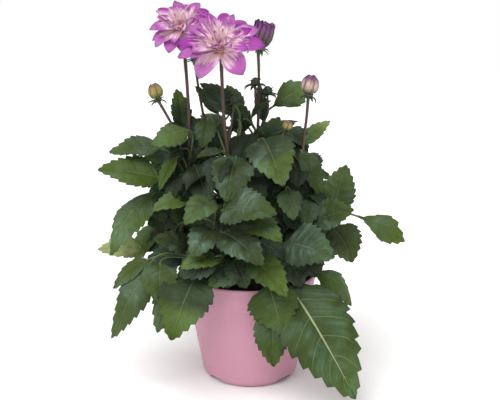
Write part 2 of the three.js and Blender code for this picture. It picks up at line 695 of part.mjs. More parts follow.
function potProfile(inset, top) {
  const corner = FOOT_CORNER - inset;
  const centre = FOOT_RADIUS - FOOT_CORNER;
  const profile = [[0, inset]];
  for (let i = 0; i <= 3; i += 1) {
    const angle = (i / 3) * (Math.PI / 2);
    profile.push([centre + corner * Math.sin(angle), FOOT_CORNER - corner * Math.cos(angle)]);
  }
  profile.push([wallRadius(top) - inset, top]);
  profile.push([0, top]);
  return profile;
}

// One arched drainage channel under the pot's floor, running out through its foot.
function channel(turn, spare) {
  const half = CHANNEL_WIDTH / 2 + spare;
  const top = CHANNEL_HEIGHT + spare;
  const arch = new THREE.Shape();
  arch.moveTo(-half, -1);
  arch.lineTo(half, -1);
  CHANNEL_ARCH.forEach(([across, up]) => arch.lineTo(half * across, top * up));
  [...CHANNEL_ARCH].reverse().forEach(([across, up]) => arch.lineTo(-half * across, top * up));
  arch.closePath();
  const length = RIM_RADIUS - CHANNEL_START + spare;
  const body = new THREE.ExtrudeGeometry(arch, { depth: length, bevelEnabled: false });
  body.rotateX(Math.PI / 2).translate(0, RIM_RADIUS, 0).rotateZ(turn);
  return toSolid(body);
}

// The turns of the channels round the pot, midway between its front, back and sides.
const CHANNEL_TURNS = Array.from({ length: CHANNEL_COUNT }, (_, i) => (
  ((i + 0.5) * 2 * Math.PI) / CHANNEL_COUNT
));

function channels(spare) {
  return joined(CHANNEL_TURNS.map((turn) => channel(turn, spare)));
}

// A shallow raised panel on the pot's upper band.
function panel(turn) {
  const half = radians(PANEL_HALF_ANGLE);
  const outline = new THREE.Shape();
  const radius = RIM_RADIUS + 4;
  outline.absarc(0, 0, radius, -half, half, false);
  outline.absarc(0, 0, radius - 14, half, -half, true);
  outline.closePath();
  const wedge = new THREE.ExtrudeGeometry(outline, {
    depth: PANEL_HIGH - PANEL_LOW,
    bevelEnabled: false,
    curveSegments: 5,
  });
  wedge.translate(0, 0, PANEL_LOW).rotateZ(turn);
  const low = wallRadius(PANEL_LOW) + PANEL_PROUD;
  const high = wallRadius(PANEL_HIGH) + PANEL_PROUD;
  const skin = [[0, PANEL_LOW], [low, PANEL_LOW], [high, PANEL_HIGH], [0, PANEL_HIGH]];
  return toSolid(wedge).intersect(toSolid(turned(skin, POT_SIDES)));
}

function pot() {
  const lipLow = POT_HEIGHT - LIP_HEIGHT;
  const lipRadius = RIM_RADIUS + LIP_PROUD;
  const lip = [[0, lipLow], [lipRadius, lipLow], [lipRadius, POT_HEIGHT], [0, POT_HEIGHT]];
  const wall = toSolid(turned(potProfile(0, POT_HEIGHT), POT_SIDES));
  const rim = toSolid(turned(lip, POT_SIDES));
  const panels = [-1, 1].map((side) => panel((side * Math.PI) / 2));
  const inside = toSolid(turned(potProfile(WALL, POT_HEIGHT + 1), POT_SIDES)).subtract(channels(WALL));
  const bore = [[0, 1], [DRAIN_RADIUS, 1], [DRAIN_RADIUS, 20], [0, 20]];
  const drain = toSolid(turned(bore, HOLE_SIDES));
  const drains = CHANNEL_TURNS.map((turn) => (
    drain.translate([DRAIN_AT * Math.cos(turn), DRAIN_AT * Math.sin(turn), 0])
  ));
  const shell = joined([wall, rim, ...panels]);
  return shell.subtract(inside).subtract(channels(0)).subtract(joined(drains));
}

// The soil fills the pot to a little under its rim, with a lumpy top and a plain hole for each stem.
function soil() {
  const random = seededRandom(5);
  const inset = WALL + GAP;
  const floor = CHANNEL_HEIGHT + inset;
  const outer = wallRadius(SOIL_LEVEL - 1) - inset;
  const profile = [[0, floor], [wallRadius(floor) - inset, floor], [outer, SOIL_LEVEL - 1]];
  SOIL_RINGS.forEach((share) => profile.push([outer * share, SOIL_LEVEL]));
  const body = turned(profile, POT_SIDES / 2);
  const places = body.attributes.position;
  const bumps = new Map();
  for (let i = 0; i < places.count; i += 1) {
    if (places.getZ(i) < SOIL_LEVEL - 0.5) continue;
    const key = `${places.getX(i).toFixed(2)} ${places.getY(i).toFixed(2)}`.replaceAll('-0.00', '0.00');
    if (!bumps.has(key)) bumps.set(key, SOIL_BUMP * (random() - 0.5));
    places.setZ(i, places.getZ(i) + bumps.get(key));
  }
  const base = SOIL_LEVEL - STEM_DEPTH - GAP;
  const radius = (STEM_RADIUS + GAP) / Math.cos(Math.PI / HOLE_SIDES);
  const hole = [[0, base], [radius, base], [radius, SOIL_LEVEL + 9], [0, SOIL_LEVEL + 9]];
  const holes = Object.values(STEMS).map(({ through }) => {
    const [x, y] = through[0];
    return toSolid(turned(hole, HOLE_SIDES)).translate([x, y, 0]);
  });
  return toSolid(body).subtract(joined(holes));
}

const group = new THREE.Group();

function addPiece(name, solid, colour, roughness) {
  const material = new THREE.MeshStandardMaterial({ color: colour, roughness, metalness: 0 });
  const mesh = new THREE.Mesh(toGeometry(solid), material);
  mesh.name = name;
  group.add(mesh);
}

addPiece('pot', pot(), PINK_PLASTIC, 0.45);
addPiece('soil', soil(), DARK_SOIL, 0.95);
Object.entries(STEMS).forEach(([name, stem]) => addPiece(name, leafyStem(stem), LEAF_GREEN, 0.55));
Object.entries(FLOWERS).forEach(([name, bloom]) => {
  addPiece(name, flower(bloom), PETAL_MAUVE, 0.5);
  addPiece(`${name}_eye`, flowerEye(bloom), EYE_ORANGE, 0.7);
});
Object.entries(BUDS).forEach(([name, bud]) => {
  const solid = name === 'bud_purple' ? openingBud(bud) : closedBud(bud);
  addPiece(name, solid, bud.colour, 0.5);
});

export default group;
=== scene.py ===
"""The looks of a potted dahlia: flowers, buds and leafy stems that stand in soil in a pink pot.

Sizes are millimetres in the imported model's frame, with +Z up and the front along -Y. They become
metres where a mesh is made.
"""

import logging
from collections.abc import Callable, Iterable, Sequence
from dataclasses import dataclass
from enum import Enum, IntEnum
from math import ceil, cos, degrees, exp, pi, radians, sin, sqrt
from random import Random

import bmesh
import bpy
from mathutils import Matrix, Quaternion, Vector, noise


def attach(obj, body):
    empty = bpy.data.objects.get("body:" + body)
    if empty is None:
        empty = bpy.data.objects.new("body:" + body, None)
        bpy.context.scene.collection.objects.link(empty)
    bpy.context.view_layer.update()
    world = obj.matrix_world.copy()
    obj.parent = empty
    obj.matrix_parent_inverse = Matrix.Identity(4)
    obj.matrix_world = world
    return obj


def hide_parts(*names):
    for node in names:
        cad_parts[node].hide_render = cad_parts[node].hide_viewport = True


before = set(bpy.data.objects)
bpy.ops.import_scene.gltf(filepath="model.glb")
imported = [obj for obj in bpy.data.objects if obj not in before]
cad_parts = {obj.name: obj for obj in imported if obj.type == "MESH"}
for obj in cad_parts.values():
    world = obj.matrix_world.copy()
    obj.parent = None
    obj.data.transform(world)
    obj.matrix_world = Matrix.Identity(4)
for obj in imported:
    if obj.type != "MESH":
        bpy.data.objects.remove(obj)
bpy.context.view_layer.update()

LOG = logging.getLogger("dahlia")
MM = 0.001
UP = Vector((0.0, 0.0, 1.0))

Colour = tuple[float, float, float, float]
Triple = tuple[float, float, float]
Outline = Sequence[tuple[float, float]]
Material = bpy.types.Material
Tree = bpy.types.NodeTree
Piece = bpy.types.Object


def tint(code: str) -> Colour:
    """Turns a screen colour into the linear colour that shaders use.

    Args:
        code: six hexadecimal digits, two each for red, green and blue.

    Returns:
        Red, green, blue and an alpha of one.
    """
    shares = [int(code[i : i + 2], 16) / 255 for i in (0, 2, 4)]
    red, green, blue = (
        share / 12.92 if share <= 0.04045 else ((share + 0.055) / 1.055) ** 2.4
        for share in shares
    )
    return (red, green, blue, 1.0)


def blend(low: float, high: float, share: float) -> float:
    """Returns the number that lies the given share of the way from low to high."""
    return low + (high - low) * share


def eased(share: float) -> float:
    """Returns a share that starts and ends gently, held between zero and one."""
    held = min(max(share, 0.0), 1.0)
    return held * held * (3 - 2 * held)


def profiled(profile: Outline, share: float) -> float:
    """Reads a profile of (share, value) points with straight lines between them.

    Args:
        profile: the points, with rising shares.
        share: where to read it.

    Returns:
        The value at that share.
    """
    for (start, low), (end, high) in zip(profile, profile[1:]):
        if share <= end:
            return blend(low, high, (share - start) / (end - start))
    return profile[-1][1]


def turns_round(count: int) -> list[float]:
    """Returns the angles of equal steps round a circle, in radians."""
    return [2 * pi * step / count for step in range(count)]


def polar(radius: float, angle: float, height: float = 0.0) -> Vector:
    """Returns the place at a distance and an angle from the upright axis, and at a height."""
    return Vector((radius * cos(angle), radius * sin(angle), height))


def curved(places: Sequence[Vector], steps: int) -> list[Vector]:
    """Draws a smooth line through places, with each stretch eased by the distance it covers.

    Args:
        places: the places that the line passes through.
        steps: the number of steps on each stretch.

    Returns:
        The points of the line.
    """
    ends = [2 * places[0] - places[1], *places, 2 * places[-1] - places[-2]]
    line = [places[0].copy()]
    for before, start, end, after in zip(ends, ends[1:], ends[2:], ends[3:]):
        pairs = ((before, start), (start, end), (end, after))
        reach = [sqrt((far - near).length) for near, far in pairs]
        leaving = (start - before) / reach[0] - (end - before) / (reach[0] + reach[1])
        leaving = (leaving + (end - start) / reach[1]) * reach[1]
        arriving = (end - start) / reach[1] - (after - start) / (reach[1] + reach[2])
        arriving = (arriving + (after - end) / reach[2]) * reach[1]
        for step in range(1, steps + 1):
            share = step / steps
            square, cube = share**2, share**3
            line.append(
                start * (2 * cube - 3 * square + 1)
                + leaving * (cube - 2 * square + share)
                + end * (3 * square - 2 * cube)
                + arriving * (cube - square)
            )
    return line


class Channel(Enum):
    """What is painted on the points of the plant's pieces."""

    ALONG = "along"
    ACROSS = "across"
    VEIN = "vein"
    TONE = "tone"
    UNDER = "under"
    # The glow channel carries a leaf's painted light or shade.
    GLOW = "glow"
    RIB = "rib"
    # The last channel carries how much painted bluish sheen, a painted reflection of the sky, a leaf has.
    FROST = "frost"


ALONG, ACROSS, VEIN, TONE, UNDER, GLOW, RIB, FROST = Channel
Paint = dict[Channel, float]


class Draft:
    """The points and faces of one piece, in millimetres, with what is painted on the points."""

    def __init__(self) -> None:
        """Starts an empty draft."""
        self.points: list[Vector] = []
        self.faces: list[tuple[int, ...]] = []
        self.slots: list[int] = []
        self.painted: dict[Channel, list[float]] = {channel: [] for channel in Channel}

    def point(self, place: Vector, paint: Paint) -> int:
        """Adds a point.

        Args:
            place: where it lies.
            paint: the values painted on it; a channel that is left out is zero.

        Returns:
            The number of the point.
        """
        self.points.append(place)
        for channel, values in self.painted.items():
            values.append(paint.get(channel, 0.0))
        return len(self.points) - 1

    def face(self, corners: tuple[int, ...], slot: int) -> None:
        """Adds a face, given its corners and the number of its material."""
        self.faces.append(corners)
        self.slots.append(slot)

    def skin(self, rows: Sequence[Sequence[int]], slot: int, ring: bool = False) -> None:
        """Covers neighbouring rows of points with four-sided faces.

        Args:
            rows: rows with the same number of points.
            slot: the number of the material.
            ring: whether each row closes on itself.
        """
        for near, far in zip(rows, rows[1:]):
            count = len(near)
            for i in range(count if ring else count - 1):
                j = (i + 1) % count
                self.face((near[i], near[j], far[j], far[i]), slot)

    def blade(self, rows: Sequence[Sequence[tuple]], thick: float, slot: int) -> None:
        """Adds a thin closed blade round a grid of places.

        Args:
            rows: rows of (place, normal, paint).
            thick: the thickness of the blade.
            slot: the number of the material.
        """
        sides = []
        for side, under in ((0.5, 0.0), (-0.5, 1.0)):
            grid = [
                [
                    self.point(place + normal * (thick * side), {**paint, UNDER: under})
                    for place, normal, paint in row
                ]
                for row in rows
            ]
            self.skin(grid, slot)
            last = len(grid[0]) - 1
            rim = grid[0] + [row[last] for row in grid[1:]]
            rim += grid[-1][:-1][::-1] + [row[0] for row in grid[-2:0:-1]]
            sides.append(rim)
        self.skin(sides, slot, ring=True)

    def fan(self, place: Vector, paint: Paint, ring: Sequence[int], slot: int) -> None:
        """Closes a ring of points with triangles round a place in its middle."""
        pole = self.point(place, paint)
        for near, far in zip(ring, [*ring[1:], ring[0]]):
            self.face((pole, near, far), slot)

    def tube(
        self, line: Sequence[Vector], radii: Sequence[float], sides: int, slot: int,
        paint: Callable[[float], Paint], ribs: float = 0.0
    ) -> None:
        """Adds a round stalk along a line, closed at both ends.

        Args:
            line: the points of its middle.
            radii: its radius at each point.
            sides: the number of its sides.
            slot: the number of the material.
            paint: gives what is painted at a share of its length.
            ribs: how far shallow lengthwise ribs stand out, as a share of the radius.
        """
        ends = [line[0], *line, line[-1]]
        tangents = [(after - before).normalized() for before, after in zip(ends, ends[2:])]
        sideways = tangents[0].orthogonal().normalized()
        rows = []
        for i, (place, tangent, radius) in enumerate(zip(line, tangents, radii)):
            sideways = (sideways - tangent * sideways.dot(tangent)).normalized()
            upward = tangent.cross(sideways)
            values = paint(i / (len(line) - 1))
            row = []
            for k, angle in enumerate(turns_round(sides)):
                reach = radius * (1 + ribs * cos(pi * k))
                spot = place + sideways * (reach * cos(angle)) + upward * (reach * sin(angle))
                row.append(self.point(spot, {**values, ACROSS: k / sides}))
            rows.append(row)
        self.skin(rows, slot, ring=True)
        self.fan(line[0].copy(), paint(0.0), rows[0], slot)
        self.fan(line[-1].copy(), paint(1.0), rows[-1], slot)

    def turned(
        self, profile: Outline, sides: int, slot: int,
        place: Vector = Vector((0.0, 0.0, 0.0)), axis: Vector = UP,
        swell: Callable[[float, float], float] = lambda angle, share: 1.0,
        paint: Callable[[float], Paint] = lambda share: {}
    ) -> None:
        """Adds a closed body turned on an axis.

        Args:
            profile: (radius, height) points; the first and last lie on the axis.
            sides: the number of its sides.
            slot: the number of the material.
            place: the point on the axis at height zero.
            axis: the direction of the axis.
            swell: gives what the radius is multiplied by at an angle and a share of the profile.
            paint: gives what is painted at a share of the profile.
        """
        turn = UP.rotation_difference(axis)
        rows = []
        last = len(profile) - 1
        for i, (radius, height) in enumerate(profile[1:-1], start=1):
            row = []
            for k, angle in enumerate(turns_round(sides)):
                spot = polar(radius * swell(angle, i / last), angle, height)
                spot.rotate(turn)
                row.append(self.point(place + spot, {**paint(i / last), ACROSS: k / sides}))
            rows.append(row)
        self.skin(rows, slot, ring=True)
        for (_, height), row, share in ((profile[0], rows[0], 0.0), (profile[-1], rows[-1], 1.0)):
            spot = UP * height
            spot.rotate(turn)
            self.fan(place + spot, paint(share), row, slot)

    def made(
        self, name: str, materials: Sequence[Material], crease: float = 50.0
    ) -> Piece:
        """Makes the piece's object.

        Args:
            name: the name of the piece.
            materials: its materials, by number.
            crease: edges that turn by more than this many degrees stay sharp.

        Returns:
            The object, in metres.
        """
        mesh = bpy.data.meshes.new(name)
        mesh.from_pydata([place * MM for place in self.points], [], self.faces)
        for channel, values in self.painted.items():
            mesh.attributes.new(channel.value, "FLOAT", "POINT").data.foreach_set("value", values)
        mesh.polygons.foreach_set("material_index", self.slots)
        for material in materials:
            mesh.materials.append(material)
        return finished(name, mesh, crease)


def finished(name: str, mesh: bpy.types.Mesh, crease: float) -> Piece:
    """Turns a mesh's faces outward, smooths it and puts it in the scene.

    Args:
        name: the name of the object.
        mesh: the mesh, in metres.
        crease: edges that turn by more than this many degrees stay sharp.

    Returns:
        The object.
    """
    shaped = bmesh.new()
    shaped.from_mesh(mesh)
    bmesh.ops.recalc_face_normals(shaped, faces=shaped.faces)
    shaped.to_mesh(mesh)
    shaped.free()
    mesh.polygons.foreach_set("use_smooth", [True] * len(mesh.polygons))
    mesh.set_sharp_from_angle(angle=radians(crease))
    mesh.update()
    return placed(name, mesh)


def placed(name: str, data: bpy.types.ID) -> Piece:
    """Puts a new object with the given data in the scene and returns it.

    Args:
        name: the name of the object.
        data: its mesh, lamp or camera.

    Returns:
        The object.
    """
    piece = bpy.data.objects.new(name, data)
    bpy.context.scene.collection.objects.link(piece)
    return piece


def seated(piece: Piece, slot: str, *nodes: str) -> Piece:
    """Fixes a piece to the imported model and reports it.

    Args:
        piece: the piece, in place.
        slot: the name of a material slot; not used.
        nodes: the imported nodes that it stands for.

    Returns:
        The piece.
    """
    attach(piece, "root")
    if nodes:
        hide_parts(*nodes)
    LOG.info("%s: %d faces", piece.name, len(piece.data.polygons))
    return piece


class Signal:
    """A number or colour on its way through a node tree, with the usual arithmetic."""

    def __init__(self, bench: "Bench", socket: bpy.types.NodeSocket) -> None:
        """Takes the bench that it is worked on and the socket that it comes from."""
        self.bench = bench
        self.socket = socket

    def __add__(self, other: object) -> "Signal":
        """Returns the sum."""
        return self.bench.math("ADD", self, other)

    def __sub__(self, other: object) -> "Signal":
        """Returns the difference."""
        return self.bench.math("SUBTRACT", self, other)

    def __mul__(self, other: object) -> "Signal":
        """Returns the product."""
        return self.bench.math("MULTIPLY", self, other)

    def __abs__(self) -> "Signal":
        """Returns the number without its sign."""
        return self.bench.math("ABSOLUTE", self)

    def or_more(self, other: "Signal") -> "Signal":
        """Returns the larger of the two."""
        return self.bench.math("MAXIMUM", self, other)

    def held(self) -> "Signal":
        """Holds the result of the arithmetic step it comes from between zero and one."""
        self.socket.node.use_clamp = True
        return self

    def smooth(self, low: float, high: float) -> "Signal":
        """Returns a soft step from zero at low to one at high; low may be the larger one."""
        inputs = {0: self, 1: min(low, high), 2: max(low, high), 3: float(low > high), 4: float(low < high)}
        return self.bench.take(0, "ShaderNodeMapRange", inputs, interpolation_type="SMOOTHSTEP")

    def mix(self, low: object, high: object) -> "Signal":
        """Returns a mix of two colours, with this share of the second one."""
        return self.bench.take(2, "ShaderNodeMix", {0: self, 6: low, 7: high}, data_type="RGBA")


class Bench:
    """Places the nodes of one tree and links them."""

    def __init__(self, tree: Tree) -> None:
        """Takes the tree to work in."""
        self.tree = tree

    def put(self, kind: str, inputs: dict | None = None, **settings: object) -> bpy.types.Node:
        """Places a node.

        Args:
            kind: Blender's name for the kind of node.
            inputs: what goes into its sockets, by name or number: a plain value or a signal.
            settings: the node's own settings.

        Returns:
            The node.
        """
        node = self.tree.nodes.new(kind)
        for key, value in settings.items():
            setattr(node, key, value)
        for key, value in (inputs or {}).items():
            if isinstance(value, Signal):
                self.tree.links.new(value.socket, node.inputs[key])
            else:
                node.inputs[key].default_value = value
        return node

    def take(self, output: str | int, kind: str, inputs: dict | None = None, **settings: object) -> Signal:
        """Places a node and returns what comes out of its named or numbered output."""
        return Signal(self, self.put(kind, inputs, **settings).outputs[output])

    def math(self, operation: str, *values: object) -> Signal:
        """Returns the result of one arithmetic step."""
        return self.take(0, "ShaderNodeMath", dict(enumerate(values)), operation=operation)

    def painted(self, *channels: Channel) -> list[Signal]:
        """Returns what is painted on the surface in each of the channels."""
        return [self.take("Fac", "ShaderNodeAttribute", attribute_name=one.value) for one in channels]

    def place(self) -> Signal:
        """Returns the place on the object, in metres."""
        return self.take("Object", "ShaderNodeTexCoord")

    def speckle(self, where: Signal, scale: object, detail: float = 2.0) -> Signal:
        """Returns soft seeded noise between zero and one, with its lumps 1 / scale across."""
        return self.take("Fac", "ShaderNodeTexNoise", {"Vector": where, "Scale": scale, "Detail": detail})

    def effect(self, tree: Tree, **inputs: object) -> Signal:
        """Places a shared effect with its own values and returns its result."""
        named = {key.capitalize(): value for key, value in inputs.items()}
        return self.take(0, "ShaderNodeGroup", named, node_tree=tree)


@dataclass(frozen=True)
class Effects:
    """The shader node groups that several materials share."""

    mottle: Tree
    streaks: Tree
    grit: Tree

    @classmethod
    def built(cls) -> "Effects":
        """Builds the groups once for all materials."""
        return cls(mottle=cls.mottled(), streaks=cls.streaked(), grit=cls.gritty())

    @staticmethod
    def started(name: str, output: str, **usual: object) -> tuple[Bench, list[Signal]]:
        """Starts a group.

        Args:
            name: the name of the group.
            output: the name of its output. Only one that is named Colour holds a colour.
            usual: its inputs and their usual values, each a number or a colour.

        Returns:
            A bench in the group and the signals that come in, in their order.
        """
        tree = bpy.data.node_groups.new(name, "ShaderNodeTree")
        for key, value in usual.items():
            kind = "NodeSocketFloat" if isinstance(value, float) else "NodeSocketColor"
            socket = tree.interface.new_socket(name=key.capitalize(), in_out="INPUT", socket_type=kind)
            socket.default_value = value
        kind = "NodeSocketColor" if output == "Colour" else "NodeSocketFloat"
        tree.interface.new_socket(name=output, in_out="OUTPUT", socket_type=kind)
        bench = Bench(tree)
        given = bench.put("NodeGroupInput")
        return bench, [Signal(bench, given.outputs[key.capitalize()]) for key in usual]

    @classmethod
    def mottled(cls) -> Tree:
        """Builds the uneven depth of colour that grown and moulded things have."""
        usual = {"colour": (0.5, 0.5, 0.5, 1.0), "scale": 60.0, "amount": 0.3}
        bench, (colour, scale, amount) = cls.started("mottle", "Colour", **usual)
        where = bench.place()
        both = bench.speckle(where, scale * 6.0, 3.0) * 0.5 + bench.speckle(where, scale)
        swing = both - 0.75
        hue, value = swing * (amount * 0.06) + 0.5, swing * (amount * 2.0) + 1.0
        inputs = {"Hue": hue, "Value": value, "Color": colour}
        varied = bench.take("Color", "ShaderNodeHueSaturation", inputs)
        bench.put("NodeGroupOutput", {"Colour": varied})
        return bench.tree

    @classmethod
    def streaked(cls) -> Tree:
        """Builds the fine lengthwise streaks of petals, bracts, buds and stalks."""
        usual = {"across": 0.0, "along": 0.0, "tone": 0.0, "count": 9.0}
        bench, (across, along, tone, count) = cls.started("streaks", "Mask", **usual)
        drawn_out = {"X": across * count, "Y": along * 1.4, "Z": tone * 37.0}
        rough = bench.speckle(bench.take(0, "ShaderNodeCombineXYZ", drawn_out), 1.0, 3.0)
        bench.put("NodeGroupOutput", {"Mask": rough.smooth(0.34, 0.66)})
        return bench.tree

    @classmethod
    def gritty(cls) -> Tree:
        """Builds the fine relief of plastic, soil, stalks and blades."""
        bench, (scale, cells) = cls.started("grit", "Height", scale=900.0, cells=0.4)
        where = bench.place()
        inputs = {"Vector": where, "Scale": scale}
        from_edge = bench.take("Distance", "ShaderNodeTexVoronoi", inputs, feature="DISTANCE_TO_EDGE")
        height = bench.speckle(where, scale, 4.0) + from_edge.smooth(0.0, 0.2) * cells
        bench.put("NodeGroupOutput", {"Height": height})
        return bench.tree


@dataclass(frozen=True)
class Finish:
    """What every finish shares: the effects it draws on and how its material is closed off.

    The mottle fields say how fine and how strong its uneven colour is, and the grit fields how fine
    and how pitted its relief. relief is the depth of that relief, in metres.
    """

    effects: Effects

    name: str = "finish"
    mottle_scale: float = 60.0
    mottle_amount: float = 0.4
    grit_scale: float = 900.0
    grit_cells: float = 0.2
    relief: float = 0.0002

    def material(self) -> Material:
        """Builds the material."""
        material = bpy.data.materials.new(self.name)
        material.use_nodes = True
        material.node_tree.nodes.clear()
        self.shade(Bench(material.node_tree))
        return material

    def shade(self, bench: Bench) -> None:
        """Places the material's nodes."""
        raise NotImplementedError

    def mottled(self, bench: Bench, colour: object) -> Signal:
        """Returns a colour that varies as the finish says."""
        values = {"colour": colour, "scale": self.mottle_scale, "amount": self.mottle_amount}
        return bench.effect(self.effects.mottle, **values)

    def gritty(self, bench: Bench) -> Signal:
        """Returns the height of the finish's fine relief."""
        return bench.effect(self.effects.grit, scale=self.grit_scale, cells=self.grit_cells)

    def surface(
        self, bench: Bench, colour: Signal, roughness: object, height: Signal, **fixed: object
    ) -> None:
        """Adds the surface shader and its output.

        Args:
            bench: the bench in the material's tree.
            colour: the base colour.
            roughness: the roughness.
            height: the height of the fine relief.
            fixed: plain values for the shader's other sockets, with _ for each space.
        """
        relief = {"Strength": 1.0, "Distance": self.relief, "Height": height}
        inputs = {"Base Color": colour, "Roughness": roughness}
        inputs["Normal"] = bench.take("Normal", "ShaderNodeBump", relief)
        inputs |= {key.replace("_", " "): value for key, value in fixed.items()}
        shader = bench.take("BSDF", "ShaderNodeBsdfPrincipled", inputs)
        bench.put("ShaderNodeOutputMaterial", {"Surface": shader})


@dataclass(frozen=True)
class LeafFinish(Finish):
    """Toothed leaf blades: dark olive with a painted bluish sheen; painted light makes lit leaves yellower
    at the ends.
    """

    name: str = "leaf"
    mottle_scale: float = 40.0
    grit_scale: float = 420.0
    grit_cells: float = 0.5
    relief: float = 0.00035
    sheen_scale: float = 38.0
    # inner is painted shade for leaves deep in the plant, and also stands for older inner leaves being
    # darker.
    inner: Colour = tint("122010")
    deep: Colour = tint("202C19")
    # lit and pale are the blade's colour with painted light on it, pale as if lit from behind.
    lit: Colour = tint("4B6120")
    pale: Colour = tint("A3AD70")
    # sheen is a painted bluish reflection of the sky, mixed into the blade's colour.
    sheen: Colour = tint("5D7564")
    vein: Colour = tint("A8B184")
    under: Colour = tint("4F6142")

    def shade(self, bench: Bench) -> None:
        """Places the material's nodes.

        Args:
            bench: the bench in the material's tree.
        """
        side, along, vein, tone = bench.painted(ACROSS, ALONG, VEIN, TONE)
        under, glow, rib, frost = bench.painted(UNDER, GLOW, RIB, FROST)

        across = abs(side)
        gap = abs(bench.math("FRACT", vein + 0.5) - 0.5)
        side_veins = gap.smooth(0.035, 0.008) * across.smooth(1.0, 0.6)
        off_midrib = bench.math("DIVIDE", across, along * -0.03 + 0.045)
        midrib = bench.math("SUBTRACT", 1.0, off_midrib).held().smooth(0.0, 0.5)
        lines = (side_veins * 0.25).or_more(midrib)
        swell = gap.smooth(0.02, 0.4) * across.smooth(0.02, 0.3)
        ripple = bench.effect(self.effects.streaks, across=vein, along=across, tone=tone, count=6.0)

        # Painted light: the colour runs from deep through lit to pale as a leaf's painted light rises, with
        # a little more of it towards the tip.
        painted_light = along.smooth(0.45, 1.0) * 0.2 + glow
        colour = painted_light.smooth(0.05, 0.75).mix(self.deep, self.lit)
        colour = painted_light.smooth(0.75, 1.1).mix(colour, self.pale)
        colour = (tone * 0.42).mix(colour, self.deep)
        patches = bench.speckle(bench.place(), self.sheen_scale)
        # Painted sheen: bluish patches that stand in for the sky's reflection, strongest on the pads between
        # the side veins and on leaves given more of it.
        painted_sheen_mask = patches.smooth(0.38, 0.66) * (swell * 0.4 + 0.6) * (ripple * 0.7 + 0.35)
        painted_sheen_mask = (painted_sheen_mask * (glow * 0.1 + (frost * 0.36 + 0.34))).held()
        colour = painted_sheen_mask.mix(colour, self.sheen)
        colour = self.mottled(bench, (under * 0.35).mix(colour, self.under))
        colour = (lines * rib).mix(colour, self.vein)
        # Painted shade: inner leaves, whose glow is below zero, darken towards inner; this also stands for
        # older inner leaves being darker.
        colour = (glow.smooth(-0.05, -0.35) * 0.8).mix(colour, self.inner)
        colour = (across.smooth(0.93, 1.0) * 0.35).mix(colour, self.deep)

        height = ripple * 0.6 + (swell * 0.3 + (lines * -0.7 + self.gritty(bench)))
        self.surface(bench, colour, patches * -0.2 + 0.62, height, Specular_IOR_Level=0.2)


@dataclass(frozen=True)
class StalkFinish(Finish):
    """Stems, stalks and cups: green, turning maroon where the paint along them says so."""

    name: str = "stalk"
    mottle_scale: float = 90.0
    grit_scale: float = 1100.0
    green: Colour = tint("445A2D")
    maroon: Colour = tint("40221F")
    fibre: Colour = tint("75705A")

    def shade(self, bench: Bench) -> None:
        """Places the material's nodes.

        Args:
            bench: the bench in the material's tree.
        """
        red, across = bench.painted(ALONG, ACROSS)
        uneven = bench.speckle(bench.place(), 160.0, 3.0) * 0.5 + red
        colour = uneven.smooth(0.45, 1.0).mix(self.green, self.maroon)
        streaks = bench.effect(self.effects.streaks, across=across, along=red, count=14.0)
        colour = (streaks * 0.18).mix(colour, self.fibre)
        self.surface(bench, self.mottled(bench, colour), 0.48, self.gritty(bench))


@dataclass(frozen=True)
class BractFinish(Finish):
    """Small leaf-like bracts: dark green with dull red tips."""

    name: str = "bract"
    grit_cells: float = 0.3
    green: Colour = tint("1E2A1A")
    red: Colour = tint("2A1D1B")
    fibre: Colour = tint("66784A")

    def shade(self, bench: Bench) -> None:
        """Places the material's nodes.

        Args:
            bench: the bench in the material's tree.
        """
        along, across, tone = bench.painted(ALONG, ACROSS, TONE)
        colour = along.smooth(0.35, 1.0).mix(self.green, self.red)
        streaks = bench.effect(self.effects.streaks, across=across, along=along, tone=tone, count=5.0)
        self.surface(bench, (streaks * 0.3).mix(colour, self.fibre), 0.5, self.gritty(bench))


@dataclass(frozen=True)
class PetalFinish(Finish):
    """Petals: near white at the foot, magenta at the tip and margins, with a warm throat."""

    name: str = "petal"
    mottle_scale: float = 120.0
    mottle_amount: float = 0.12
    relief: float = 0.00015
    blotch_scale: float = 75.0
    grain_scale: float = 1500.0
    pale: Colour = tint("FFDFE9")
    flame: Colour = tint("962C96")
    tip: Colour = tint("6C1F74")
    cream: Colour = tint("FFEAE8")
    throat: Colour = tint("C07A40")

    def shade(self, bench: Bench) -> None:
        """Places the material's nodes.

        Args:
            bench: the bench in the material's tree.
        """
        side, along, ring, tone = bench.painted(ACROSS, ALONG, VEIN, TONE)
        across, where = abs(side), bench.place()
        streaks = bench.effect(self.effects.streaks, across=side, along=along, tone=tone, count=9.0)
        uneven = streaks * 0.22 + bench.speckle(where, self.blotch_scale) * 0.75
        rise = ring * -0.32 + (along + uneven)

        edge = (streaks * 0.25 + across).smooth(0.5, 1.15) * rise.smooth(0.65, 1.1)
        flame = rise.smooth(0.76, 1.16).or_more(edge * 0.85) * (tone * 0.15 + 0.85)
        flame = flame.or_more(across.smooth(0.84, 1.0) * 0.6)
        end = (across * 0.1 + along).smooth(0.86, 1.04)
        colour = flame.mix(self.pale, end.mix(self.flame, self.tip))
        warm = rise.smooth(0.95, 0.45) * (ring * 0.45 + 0.5)
        colour = warm.mix(colour, self.cream)
        deep = along.smooth(0.2, 0.05) * ring.smooth(0.4, 0.0) * (streaks * 0.5 + 0.5)
        colour = self.mottled(bench, deep.mix(colour, self.throat))

        height = bench.speckle(where, self.grain_scale) * 0.3 + streaks
        self.surface(
            bench, colour, 0.6, height, Specular_IOR_Level=0.2, Subsurface_Weight=0.3,
            Subsurface_Scale=0.002, Subsurface_Radius=(1.0, 0.8, 0.95)
        )


